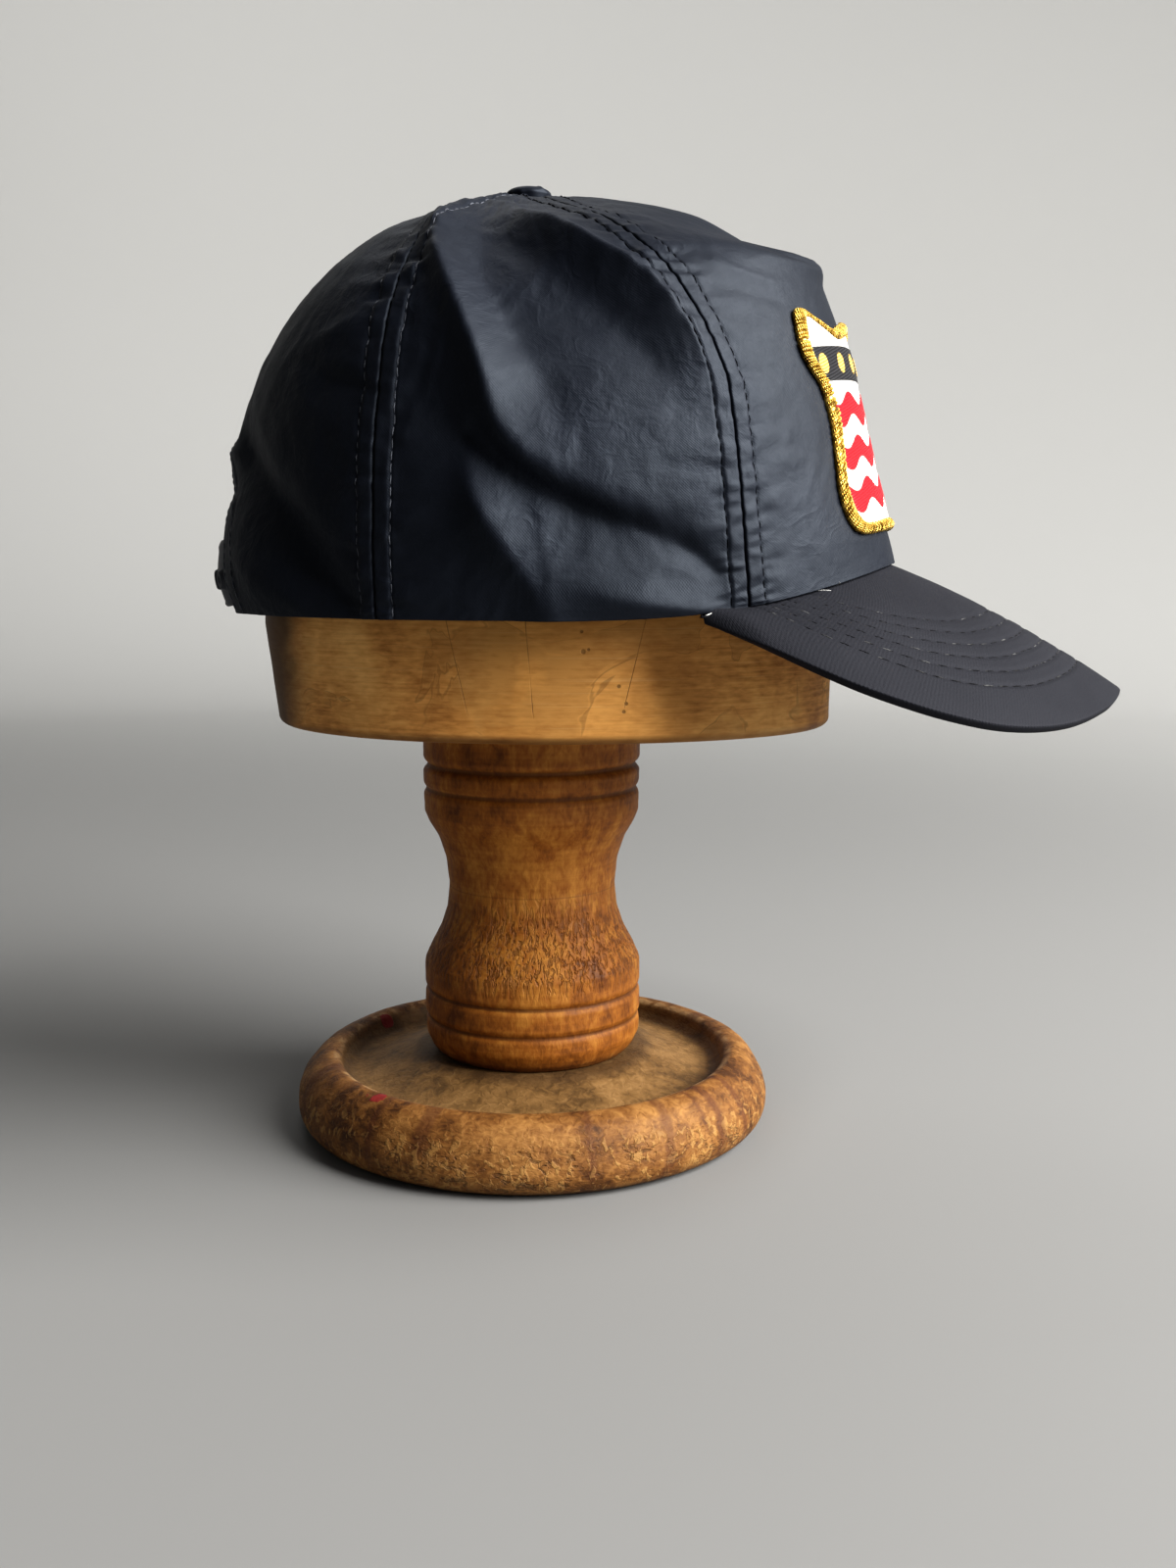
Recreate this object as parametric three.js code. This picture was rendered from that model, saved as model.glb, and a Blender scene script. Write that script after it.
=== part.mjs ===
// Five-panel trucker cap on a turned wooden hat stand, as an assembly of closed solids.
// Millimetres, +Z up. The origin is the centre of the stand's foot on the table.
// The cap faces -Y, so the wearer's right is -X. Angles round the crown start at the
// front and grow towards the wearer's right. Heights are measured from the table.
import * as THREE from 'three';

// Cloth walls, and the gaps that keep separate pieces apart
const CLOTH = 1.6;            // side and back panels
const FOAM_CLOTH = 2.6;       // foam-backed front panel
const SEAM_GAP = 0.5;         // between neighbouring panels
const SEAT_GAP = 0.3;         // between a piece and what carries it

// Crown: reach from the button's axis and height at the front, side and back,
// a row for each section from the rim to the ring under the button
const CROWN = [
  { section: 'rim',    frontR: 106.0, frontZ: 169.0, sideR: 82.0, sideZ: 155.0, backR: 88.5, backZ: 155.5 },
  { section: 'hem',    frontR: 104.0, frontZ: 177.0, sideR: 82.8, sideZ: 164.0, backR: 91.5, backZ: 167.0 },
  { section: 'low',    frontR:  99.0, frontZ: 194.0, sideR: 83.0, sideZ: 183.0, backR: 88.5, backZ: 186.0 },
  { section: 'middle', frontR:  94.5, frontZ: 212.0, sideR: 81.5, sideZ: 203.0, backR: 83.5, backZ: 205.0 },
  { section: 'high',   frontR:  89.5, frontZ: 231.0, sideR: 77.5, sideZ: 222.0, backR: 76.5, backZ: 223.0 },
  { section: 'crease', frontR:  84.5, frontZ: 244.5, sideR: 70.0, sideZ: 238.0, backR: 66.0, backZ: 239.5 },
  { section: 'corner', frontR:  82.8, frontZ: 251.5, sideR: 60.5, sideZ: 249.0, backR: 54.5, backZ: 251.5 },
  { section: 'hollow', frontR:  69.0, frontZ: 253.8, sideR: 48.0, sideZ: 258.5, backR: 41.0, backZ: 261.0 },
  { section: 'top',    frontR:  51.0, frontZ: 264.4, sideR: 33.0, sideZ: 263.8, backR: 27.5, backZ: 266.4 },
  { section: 'crown',  frontR:  28.0, frontZ: 270.4, sideR: 17.0, sideZ: 268.4, backR: 14.5, backZ: 270.6 },
  { section: 'apex',   frontR:   3.0, frontZ: 271.8, sideR:  3.0, sideZ: 271.8, backR:  3.0, backZ: 271.8 },
];
const LAST = CROWN.length - 1;
const LIFT_POWER = { front: 5, back: 2 };   // how soon the height leaves the side's for the end's
const SECTION_STEP = 16;      // mean distance along the cloth from one section to the next

// Seams between the panels: angle in degrees at a section
const SEAMS = [
  { section: 0.0,  front: 42, back: 106 },
  { section: 3.5,  front: 43, back: 106 },
  { section: 6.0,  front: 52, back: 107 },
  { section: 8.0,  front: 58, back: 112 },
  { section: 10.0, front: 64, back: 120 },
];

// Folds of the slack cloth: ridges, and valleys where the rise is negative. Each runs through a
// few places, [angle in degrees, section, rise], and fades at a distance left and right of that way
const FOLDS = [
  { fold: 'right ridge', left: 5, right: 6,
    path: [[103, 9.1, 1], [109, 7.9, 2.5], [97, 5.4, 5.6], [86, 3.7, 6.4], [79, 2.5, 3], [70, 2.2, 0]] },
  { fold: 'right ridge tail', left: 3, right: 7,
    path: [[83, 3, 0], [74, 2.2, 2.4], [62, 1.86, 1.8], [52, 1.65, 0]] },
  { fold: 'right pocket', left: 8, right: 5,
    path: [[106, 4, 0], [88, 2.8, -3.4], [78, 2.3, 0]] },
  { fold: 'right valley', left: 12, right: 3,
    path: [[89, 3, 0], [80.5, 2.23, -5], [67, 1.8, -5], [53, 1.54, -2.2], [46, 1.4, 0]] },
  { fold: 'right low ridge', left: 6, right: 9,
    path: [[90, 2.9, 0], [87, 2.05, 6.2], [79, 1.4, 4.2], [73, 0.5, 1], [72, -0.2, 0.6]] },
  { fold: 'right low swell', left: 7, right: 9,
    path: [[76, 1.1, 0], [66, 0.8, 2.8], [52, 0.45, 2.6], [42, 0.2, 0]] },
  { fold: 'right seam hollow', left: 20, right: 9,
    path: [[96, 7.9, 0], [76, 5.9, -4.2], [67.5, 5, -5], [55, 3.7, -3], [46, 2.8, 0]] },
  { fold: 'right seam edge', left: 7, right: 4,
    path: [[96, 8.8, 0], [69, 6.5, 4.4], [57, 5.25, 5.5], [50.5, 4.4, 4.6], [45, 3.1, 0]] },
  { fold: 'right flank hollow', left: 6, right: 20,
    path: [[100, 8.8, 0], [91, 6.6, -4], [83.5, 4.6, -4.4], [74, 3.3, -2.2], [65, 2.4, 0]] },
  { fold: 'right wing valley', left: 9, right: 5,
    path: [[154, 3, 0], [134, 2.1, -7], [125, 1.65, -7], [108, 0.3, 0]] },
  { fold: 'right wing ridge', left: 8, right: 8,
    path: [[152, 1.9, 0], [138, 1.2, 2.2], [126, 0.6, 1.8], [116, 0.1, 0]] },
  { fold: 'left ridge', left: 7, right: 5,
    path: [[-94, 9.2, 0], [-95, 7.2, 3], [-88, 5.2, 4.2], [-72, 2.8, 2.4], [-58, 2.4, 0]] },
  { fold: 'left seam hollow', left: 6, right: 13,
    path: [[-90, 7.4, 0], [-76, 5.8, -4], [-66, 4.6, -4.6], [-46, 2.8, 0]] },
  { fold: 'left valley', left: 4, right: 4,
    path: [[-102, 2.9, 0], [-88, 2.2, -2.6], [-74, 1.9, -3], [-48, 1.3, 0]] },
  { fold: 'left low ridge', left: 5, right: 8,
    path: [[-100, 1.9, 0], [-86, 1.4, 2.6], [-70, 1.1, 2.6], [-48, 0.7, 0]] },
  { fold: 'left wing valley', left: 8, right: 6,
    path: [[-152, 3, 0], [-138, 2.4, -4], [-124, 1.7, -4.4], [-110, 0.6, 0]] },
];
const FOLD_STEPS = 16;        // straight stretches along a fold
const FOLD_BLEND = 2.5;       // how far beyond the nearest stretch its neighbours still count
const FOLD_CREST = 4;         // radius of a crest, no sharper than the facets can follow

// Back arch above the snap strap
const ARCH_HALF_ANGLE = 32;   // from the centre back to where the arch meets the rim
const ARCH_SECTION = 2.75;    // section that the top of the arch reaches

// Snap strap across the back arch
const STRAP = { thick: 1.5, low: 0.15, high: 1.5, halfAngle: 39, freeAngle: 24, tuckGap: 1.3, bulge: 1.0 };

// Brim: outer edge from the tip to the end on one side, and its seam to the rim
const BRIM_EDGE = [
  { place: 'tip',        side:  0.0, ahead: 168.8, height: 134.5 },
  { place: 'front',      side: 15.0, ahead: 166.9, height: 133.9 },
  { place: 'front bend', side: 31.0, ahead: 161.4, height: 131.6 },
  { place: 'bend',       side: 48.0, ahead: 150.6, height: 129.1 },
  { place: 'lowest',     side: 62.0, ahead: 135.6, height: 129.3 },
  { place: 'shoulder',   side: 72.0, ahead: 118.5, height: 133.0 },
  { place: 'widest',     side: 77.0, ahead:  97.5, height: 139.9 },
  { place: 'flank',      side: 75.0, ahead:  76.0, height: 148.4 },
  { place: 'end',        side: 69.0, ahead:  58.5, height: 154.2 },
];
const BRIM = { thick: 2.6, endAngle: 50, tuck: 0.8, sink: 1.0, crownRise: 1.2 };
const END_MARGIN = 0.01;      // share of the brim at each end that takes its neighbour's normal

// Shield patch: half-widths and heights of its outline from the middle, on the unrolled front panel
const PATCH_OUTLINE = [
  { place: 'peak',          half:  0.0, up:  26.5 },
  { place: 'dip',           half: 20.0, up:  22.7 },
  { place: 'ear',           half: 35.5, up:  28.6 },
  { place: 'ear corner',    half: 39.6, up:  23.0 },
  { place: 'ear foot',      half: 38.8, up:  14.0 },
  { place: 'waist',         half: 34.6, up:   3.0 },
  { place: 'hip',           half: 37.4, up: -17.0 },
  { place: 'bottom corner', half: 34.0, up: -28.0 },
  { place: 'foot',          half: 16.0, up: -30.3 },
  { place: 'bottom',        half:  0.0, up: -30.6 },
];
const PATCH = { midSection: 2.8, sectionStep: 18, lift: 0.45, thick: 1.1, borderWide: 3.6, borderThick: 1.7 };

// Button over the place where the seams meet
const BUTTON = { radius: 6.6, height: 3.6, edge: 1.5, undercut: 0.5, roundness: 0.7 };

// Hat block: reach from the axis of the post to the front, the back and each side
const BLOCK = [
  { section: 'bottom',   height: 122.4, front: 85.6, back: 72.6, half: 63.0 },
  { section: 'edge',     height: 125.0, front: 88.6, back: 75.6, half: 66.0 },
  { section: 'wall',     height: 152.0, front: 88.6, back: 79.2, half: 67.0 },
  { section: 'shoulder', height: 200.0, front: 87.0, back: 75.5, half: 66.0 },
  { section: 'haunch',   height: 226.0, front: 77.0, back: 64.0, half: 58.0 },
  { section: 'dome',     height: 245.0, front: 61.0, back: 49.0, half: 45.0 },
  { section: 'brow',     height: 257.5, front: 41.0, back: 32.0, half: 29.0 },
  { section: 'top',      height: 265.0, front: 22.0, back: 17.0, half: 15.5 },
  { section: 'seat',     height: 268.5, front:  5.0, back:  5.0, half:  5.0 },
];

// Turned post: radius at a height, from its foot to the block
const POST = [
  { part: 'foot',         height:  22.0, radius: 29.0 },
  { part: 'foot edge',    height:  23.5, radius: 30.8 },
  { part: 'low bead',     height:  27.5, radius: 32.6 },
  { part: 'low bead',     height:  31.6, radius: 32.7 },
  { part: 'groove',       height:  32.9, radius: 31.8 },
  { part: 'middle bead',  height:  34.2, radius: 32.9 },
  { part: 'middle bead',  height:  40.0, radius: 32.9 },
  { part: 'groove',       height:  41.3, radius: 31.8 },
  { part: 'high bead',    height:  42.6, radius: 32.9 },
  { part: 'lower flare',  height:  49.4, radius: 32.8 },
  { part: 'lower flare',  height:  54.0, radius: 30.8 },
  { part: 'waist',        height:  60.0, radius: 27.8 },
  { part: 'waist',        height:  66.0, radius: 25.9 },
  { part: 'waist',        height:  73.0, radius: 25.1 },
  { part: 'waist',        height:  81.0, radius: 26.0 },
  { part: 'upper flare',  height:  88.0, radius: 28.3 },
  { part: 'upper flare',  height:  92.5, radius: 31.0 },
  { part: 'collar',       height:  95.5, radius: 32.3 },
  { part: 'collar',       height: 101.2, radius: 32.5 },
  { part: 'groove',       height: 102.6, radius: 31.4 },
  { part: 'collar bead',  height: 104.0, radius: 32.5 },
  { part: 'collar bead',  height: 108.2, radius: 32.6 },
  { part: 'groove',       height: 109.8, radius: 30.9 },
  { part: 'top bead',     height: 111.4, radius: 32.6 },
  { part: 'top bead',     height: 122.1, radius: 32.6 },
];

// Turned base: half of its section from the foot over the rim into the dish and up to the post
const BASE = [
  { part: 'foot',        radius: 66.0, height:  0.0 },
  { part: 'foot curve',  radius: 70.2, height:  2.6 },
  { part: 'widest',      radius: 72.0, height:  7.5 },
  { part: 'outer curve', radius: 70.6, height: 14.0 },
  { part: 'rim',         radius: 66.8, height: 19.2 },
  { part: 'crest',       radius: 62.5, height: 21.3 },
  { part: 'dish edge',   radius: 59.3, height: 20.4 },
  { part: 'dish wall',   radius: 57.6, height: 17.4 },
  { part: 'cove',        radius: 54.5, height: 15.6 },
  { part: 'dish floor',  radius: 46.0, height: 17.4 },
  { part: 'post seat',   radius: 34.0, height: 21.7 },
];

// Faces across, up and round each kind of piece
const FACES = {
  panelUp: 22,
  frontAcross: 18,
  sideAcross: 16,
  wingAcross: 6,
  archAcross: 6,
  strapAcross: 20,
  strapUp: 3,
  brimAcross: 26,
  brimOut: 5,
  patchRound: 36,
  buttonRound: 16,
  buttonUp: 5,
  blockRound: 30,
  postRound: 24,
  baseRound: 32,
};

const RAD = Math.PI / 180;
const lerp = THREE.MathUtils.lerp;

// Value at a fractional row of a list, on a Catmull-Rom curve through the rows
function along(rows, s) {
  const last = rows.length - 1;
  const i = Math.min(Math.floor(s), last - 1);
  const f = s - i;
  const at = (k) => rows[THREE.MathUtils.clamp(k, 0, last)];
  const [a, b, c, d] = [at(i - 1), at(i), at(i + 1), at(i + 2)];
  return b + 0.5 * f * (c - a + f * (2 * a - 5 * b + 4 * c - d + f * (3 * (b - c) + d - a)));
}

const crownColumn = (name) => CROWN.map((row) => row[name]);
const PROFILE = {
  frontR: crownColumn('frontR'),
  frontZ: crownColumn('frontZ'),
  sideR: crownColumn('sideR'),
  sideZ: crownColumn('sideZ'),
  backR: crownColumn('backR'),
  backZ: crownColumn('backZ'),
};

// Crown before any folds: half ovals in plan that meet at the sides
function smoothCrown(angle, s) {
  const end = Math.cos(angle) >= 0 ? 'front' : 'back';
  const endR = along(PROFILE[`${end}R`], s);
  const sideR = along(PROFILE.sideR, s);
  const r = 1 / Math.hypot(Math.cos(angle) / endR, Math.sin(angle) / sideR);
  const lift = Math.abs(Math.cos(angle)) ** LIFT_POWER[end];
  const z = lerp(along(PROFILE.sideZ, s), along(PROFILE[`${end}Z`], s), lift);
  return new THREE.Vector3(-r * Math.sin(angle), -r * Math.cos(angle), z);
}

// Unit normal of a surface of two parameters, on the side of its second edge crossed with its first
function normalOf(surface, u, v, vLow, vHigh) {
  const step = 1e-3;
  const up = surface(u, Math.min(v + step, vHigh)).sub(surface(u, Math.max(v - step, vLow)));
  const across = surface(u + step, v).sub(surface(u - step, v));
  return up.cross(across).normalize();
}

const foldPaths = FOLDS.map((fold) => {
  const places = fold.path.map(([degrees, s, rise]) => new THREE.Vector3(degrees * RAD, s, rise));
  return new THREE.CatmullRomCurve3(places, false, 'catmullrom').getPoints(FOLD_STEPS);
});

// Distance across the cloth to one stretch of a fold, with the rise there and the fade on that side
function offStretch(fold, start, end, angle, s) {
  const radius = along(PROFILE.sideR, s);
  const run = new THREE.Vector2((end.x - start.x) * radius, (end.y - start.y) * SECTION_STEP);
  const off = new THREE.Vector2((angle - start.x) * radius, (s - start.y) * SECTION_STEP);
  const share = THREE.MathUtils.clamp(off.dot(run) / run.lengthSq(), 0, 1);
  const fade = run.cross(off) > 0 ? fold.left : fold.right;
  return { distance: off.addScaledVector(run, -share).length(), rise: lerp(start.z, end.z, share), fade };
}

// How far the folds push the cloth out: each falls off from its line, with the rise and the fade
// averaged over its nearest stretches
function foldRise(angle, s) {
  let total = 0;
  FOLDS.forEach((fold, n) => {
    const path = foldPaths[n];
    const spots = path.slice(1).map((end, k) => offStretch(fold, path[k], end, angle, s));
    const nearest = Math.min(...spots.map((spot) => spot.distance));
    const weights = spots.map((spot) => Math.exp((nearest - spot.distance) / FOLD_BLEND));
    const sum = weights.reduce((a, b) => a + b);
    const mean = (name) => spots.reduce((a, spot, k) => a + spot[name] * weights[k], 0) / sum;
    total += mean('rise') * Math.exp((FOLD_CREST - Math.hypot(nearest, FOLD_CREST)) / mean('fade'));
  });
  return total;
}

// Crown with its folds, moved out along the normal by a distance
function crown(angle, s, out = 0) {
  const normal = normalOf(smoothCrown, angle, s, 0, LAST);
  return smoothCrown(angle, s).addScaledVector(normal, foldRise(angle, s) + out);
}

// Mesh from shared points and the corners of its triangles
function indexed(points, faces) {
  const geometry = new THREE.BufferGeometry().setFromPoints(points);
  geometry.setIndex(faces);
  geometry.computeVertexNormals();
  return geometry;
}

const sidesOf = (count) => Array.from({ length: count }, (_, j) => j);

// Closed wall between an outer and an inner grid of points of the same size
function wall(outer, inner) {
  const rows = outer.length;
  const cols = outer[0].length;
  const index = (layer, i, j) => (layer * rows + i) * cols + j;
  const faces = [];
  const quad = (a, b, c, d) => faces.push(a, b, c, a, c, d);
  for (let i = 0; i + 1 < rows; i++) {
    for (let j = 0; j + 1 < cols; j++) {
      quad(index(0, i, j), index(0, i + 1, j), index(0, i + 1, j + 1), index(0, i, j + 1));
      quad(index(1, i, j), index(1, i, j + 1), index(1, i + 1, j + 1), index(1, i + 1, j));
    }
    quad(index(0, i + 1, 0), index(0, i, 0), index(1, i, 0), index(1, i + 1, 0));
    quad(index(0, i, cols - 1), index(0, i + 1, cols - 1), index(1, i + 1, cols - 1), index(1, i, cols - 1));
  }
  for (let j = 0; j + 1 < cols; j++) {
    quad(index(0, 0, j), index(0, 0, j + 1), index(1, 0, j + 1), index(1, 0, j));
    quad(index(0, rows - 1, j + 1), index(0, rows - 1, j), index(1, rows - 1, j), index(1, rows - 1, j + 1));
  }
  return indexed([...outer.flat(), ...inner.flat()], faces);
}

// Grid of points from a function of a row number and a column number
function grid(rows, cols, point) {
  return Array.from({ length: rows + 1 }, (_, i) => Array.from({ length: cols + 1 }, (__, j) => point(i, j)));
}

// Angle of a seam at a section, between the rows of its table
function seamAngle(name, s) {
  const k = Math.max(1, SEAMS.findIndex((row) => row.section >= s));
  const [a, b] = [SEAMS[k - 1], SEAMS[k]];
  return RAD * lerp(a[name], b[name], (s - a.section) / (b.section - a.section));
}

// Half of the seam gap as an angle at a section
const halfGap = (s) => SEAM_GAP / 2 / along(PROFILE.sideR, s);

// Cloth panel from a function that gives the angle and section of each row and column
function panel(rows, cols, thick, place) {
  const layer = (out) => grid(rows, cols, (i, j) => {
    const { angle, s } = place(i, j);
    return crown(angle, s, out);
  });
  return wall(layer(0), layer(-thick));
}

function frontPanel() {
  return panel(FACES.panelUp, FACES.frontAcross, FOAM_CLOTH, (i, j) => {
    const s = (LAST * i) / FACES.panelUp;
    const edge = seamAngle('front', s) - halfGap(s);
    return { angle: lerp(-edge, edge, j / FACES.frontAcross), s };
  });
}

// Side panel on the wearer's right (side 1) or left (side -1)
function sidePanel(side) {
  return panel(FACES.panelUp, FACES.sideAcross, CLOTH, (i, j) => {
    const s = (LAST * i) / FACES.panelUp;
    const edges = [seamAngle('front', s) + halfGap(s), seamAngle('back', s) - halfGap(s)];
    const across = side > 0 ? j / FACES.sideAcross : 1 - j / FACES.sideAcross;
    return { angle: side * lerp(edges[0], edges[1], across), s };
  });
}

// Back panel: a wing beside the arch, then even steps along the curve of the arch
function backPanel(side) {
  const cols = FACES.wingAcross + FACES.archAcross;
  return panel(FACES.panelUp, cols, CLOTH, (i, j) => {
    const column = side > 0 ? j : cols - j;
    const turn = (Math.PI / 2) * Math.max(0, (column - FACES.wingAcross) / FACES.archAcross);
    const low = ARCH_SECTION * Math.sin(turn);
    const s = lerp(low, LAST, i / FACES.panelUp);
    const centre = Math.PI - halfGap(s);
    const wingEnd = Math.PI - ARCH_HALF_ANGLE * RAD;
    const seam = seamAngle('back', s) + halfGap(s);
    const angle = column < FACES.wingAcross
      ? lerp(seam, wingEnd, column / FACES.wingAcross)
      : lerp(centre, wingEnd, Math.cos(turn));
    return { angle: side * angle, s };
  });
}

// Strap across the arch: its ends tuck inside the wings, and its middle bulges out
function snapStrap() {
  const layer = (depth) => grid(FACES.strapUp, FACES.strapAcross, (i, j) => {
    const fromBack = lerp(-STRAP.halfAngle, STRAP.halfAngle, j / FACES.strapAcross);
    const free = THREE.MathUtils.smoothstep(STRAP.freeAngle - Math.abs(fromBack), 0, STRAP.freeAngle / 2);
    const out = lerp(-CLOTH - STRAP.tuckGap, STRAP.bulge, free);
    const angle = (fromBack < 0 ? 180 + fromBack : fromBack - 180) * RAD;
    return crown(angle, lerp(STRAP.low, STRAP.high, i / FACES.strapUp), out - depth);
  });
  return wall(layer(0), layer(STRAP.thick));
}

// Brim: straight lines from the seam under the rim to the curved outer edge
function brim() {
  const half = BRIM_EDGE.map((row) => new THREE.Vector3(row.side, -row.ahead, row.height));
  const mirrored = half.slice(1).map((point) => point.clone().setX(-point.x));
  const edge = new THREE.CatmullRomCurve3([...half.slice().reverse(), ...mirrored]);
  const top = (u, v) => {
    const angle = lerp(-BRIM.endAngle, BRIM.endAngle, u) * RAD;
    const seam = crown(angle, 0, -BRIM.tuck);
    seam.z -= BRIM.sink;
    const point = seam.lerp(edge.getPoint(THREE.MathUtils.clamp(u, 0, 1)), v);
    point.z += BRIM.crownRise * 4 * v * (1 - v);
    return point;
  };
  const layer = (depth) => grid(FACES.brimOut, FACES.brimAcross, (i, j) => {
    const [u, v] = [j / FACES.brimAcross, 1 - i / FACES.brimOut];
    const clearOfEnds = THREE.MathUtils.clamp(u, END_MARGIN, 1 - END_MARGIN);
    return top(u, v).addScaledVector(normalOf(top, clearOfEnds, v, 0, 1), depth);
  });
  return wall(layer(0), layer(BRIM.thick));
}

// Place on the front panel from distances across and up its middle, moved out by a distance
function onFrontPanel(across, up, out) {
  const s = PATCH.midSection + up / PATCH.sectionStep;
  return crown(across / along(PROFILE.frontR, s), s, PATCH.lift + out);
}

// Shield outline as a closed curve, from the peak down the wearer's right and up the left
const patchCurve = new THREE.SplineCurve([
  ...PATCH_OUTLINE.map((row) => new THREE.Vector2(row.half, row.up)),
  ...PATCH_OUTLINE.slice(1, -1).reverse().map((row) => new THREE.Vector2(-row.half, row.up)),
  new THREE.Vector2(PATCH_OUTLINE[0].half, PATCH_OUTLINE[0].up),
]);

// Point of the outline moved in towards the middle of the patch
function patchEdge(q, inset) {
  const point = patchCurve.getPoint(q);
  return point.setLength(point.length() - inset);
}

// White field: rings that shrink towards the middle, on the front panel and raised by the cloth
function patchField() {
  const inset = PATCH.borderWide + SEAT_GAP;
  const rings = [1, 0.75, 0.5, 0.25];
  const ringPoints = (raised) => rings.flatMap((scale) => sidesOf(FACES.patchRound).map((j) => {
    const edge = patchEdge(j / FACES.patchRound, inset).multiplyScalar(scale);
    return onFrontPanel(edge.x, edge.y, raised);
  }));
  const points = [...ringPoints(PATCH.thick), ...ringPoints(0)];
  const ring = (layer, i, j) => (layer * rings.length + i) * FACES.patchRound + (j % FACES.patchRound);
  const top = points.push(onFrontPanel(0, 0, PATCH.thick)) - 1;
  const bottom = points.push(onFrontPanel(0, 0, 0)) - 1;
  const inmost = rings.length - 1;
  const faces = [];
  const quad = (a, b, c, d) => faces.push(a, b, c, a, c, d);
  for (const j of sidesOf(FACES.patchRound)) {
    for (let i = 0; i < inmost; i++) {
      quad(ring(0, i, j), ring(0, i, j + 1), ring(0, i + 1, j + 1), ring(0, i + 1, j));
      quad(ring(1, i, j), ring(1, i + 1, j), ring(1, i + 1, j + 1), ring(1, i, j + 1));
    }
    faces.push(top, ring(0, inmost, j), ring(0, inmost, j + 1));
    faces.push(bottom, ring(1, inmost, j + 1), ring(1, inmost, j));
    quad(ring(0, 0, j + 1), ring(0, 0, j), ring(1, 0, j), ring(1, 0, j + 1));
  }
  return indexed(points, faces);
}

// Overlocked edge: a rounded bead carried round the outline
function patchBorder() {
  const bead = [
    { inset: 0.0, raised: 0.3 },
    { inset: 0.2, raised: 0.6 },
    { inset: 0.5, raised: 1.0 },
    { inset: 0.8, raised: 0.8 },
    { inset: 1.0, raised: 0.0 },
    { inset: 0.1, raised: 0.0 },
  ];
  const points = sidesOf(FACES.patchRound).flatMap((j) => bead.map((row) => {
    const edge = patchEdge(j / FACES.patchRound, row.inset * PATCH.borderWide);
    return onFrontPanel(edge.x, edge.y, row.raised * PATCH.borderThick);
  }));
  const at = (j, k) => (j % FACES.patchRound) * bead.length + (k % bead.length);
  const faces = [];
  for (const j of sidesOf(FACES.patchRound)) {
    bead.forEach((_, k) => {
      faces.push(at(j, k), at(j + 1, k), at(j + 1, k + 1));
      faces.push(at(j, k), at(j + 1, k + 1), at(j, k + 1));
    });
  }
  return indexed(points, faces);
}

// Button: a flat underside, a short edge and a low dome
function crownButton() {
  const base = CROWN[LAST].frontZ + SEAT_GAP;
  const profile = [new THREE.Vector2(0, base), new THREE.Vector2(BUTTON.radius - BUTTON.undercut, base)];
  for (let k = 0; k <= FACES.buttonUp; k++) {
    const turn = (Math.PI / 2) * (k / FACES.buttonUp);
    const rise = lerp(BUTTON.edge, BUTTON.height, Math.sin(turn));
    const radius = BUTTON.radius * Math.max(0, Math.cos(turn)) ** BUTTON.roundness;
    profile.push(new THREE.Vector2(k < FACES.buttonUp ? radius : 0, base + rise));
  }
  return turned(profile, FACES.buttonRound);
}

// Solid of revolution about the vertical axis from points of radius and height
function turned(profile, sides) {
  const geometry = new THREE.LatheGeometry(profile, sides);
  geometry.rotateX(Math.PI / 2);
  return geometry;
}

function standPost() {
  const profile = POST.map((row) => new THREE.Vector2(row.radius, row.height));
  const foot = new THREE.Vector2(0, POST[0].height);
  const top = new THREE.Vector2(0, POST[POST.length - 1].height);
  return turned([foot, ...profile, top], FACES.postRound);
}

function standBase() {
  const profile = BASE.map((row) => new THREE.Vector2(row.radius, row.height));
  const foot = new THREE.Vector2(0, 0);
  const seat = new THREE.Vector2(0, BASE[BASE.length - 1].height);
  return turned([foot, ...profile, seat], FACES.baseRound);
}

// Block: rings of half ovals, closed by a fan below and above
function hatBlock() {
  const sides = FACES.blockRound;
  const points = [];
  for (const row of BLOCK) {
    for (let j = 0; j < sides; j++) {
      const angle = (2 * Math.PI * j) / sides;
      const reach = Math.cos(angle) >= 0 ? row.front : row.back;
      points.push(new THREE.Vector3(-row.half * Math.sin(angle), -reach * Math.cos(angle), row.height));
    }
  }
  const ring = (i, j) => i * sides + (j % sides);
  const bottom = points.push(new THREE.Vector3(0, 0, BLOCK[0].height)) - 1;
  const top = points.push(new THREE.Vector3(0, 0, BLOCK[BLOCK.length - 1].height)) - 1;
  const faces = [];
  for (let j = 0; j < sides; j++) {
    for (let i = 0; i + 1 < BLOCK.length; i++) {
      faces.push(ring(i, j), ring(i + 1, j), ring(i + 1, j + 1));
      faces.push(ring(i, j), ring(i + 1, j + 1), ring(i, j + 1));
    }
    faces.push(bottom, ring(0, j), ring(0, j + 1));
    faces.push(top, ring(BLOCK.length - 1, j + 1), ring(BLOCK.length - 1, j));
  }
  return indexed(points, faces);
}

const material = (color, roughness) => new THREE.MeshStandardMaterial({ color, roughness, metalness: 0 });
const nylon = material(0x1f2534, 0.45);
const brimCloth = material(0x2c2f3a, 0.75);
const whiteCloth = material(0xe8e4da, 0.8);
const goldThread = material(0xb98d2c, 0.45);
const plastic = material(0x11131a, 0.4);
const paleWood = material(0xa9743c, 0.55);
const brownWood = material(0x9a5f28, 0.5);
const oldWood = material(0x7d5a30, 0.6);

const capOnStand = new THREE.Group();
function add(name, geometry, finish) {
  const mesh = new THREE.Mesh(geometry, finish);
  mesh.name = name;
  capOnStand.add(mesh);
}

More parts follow.
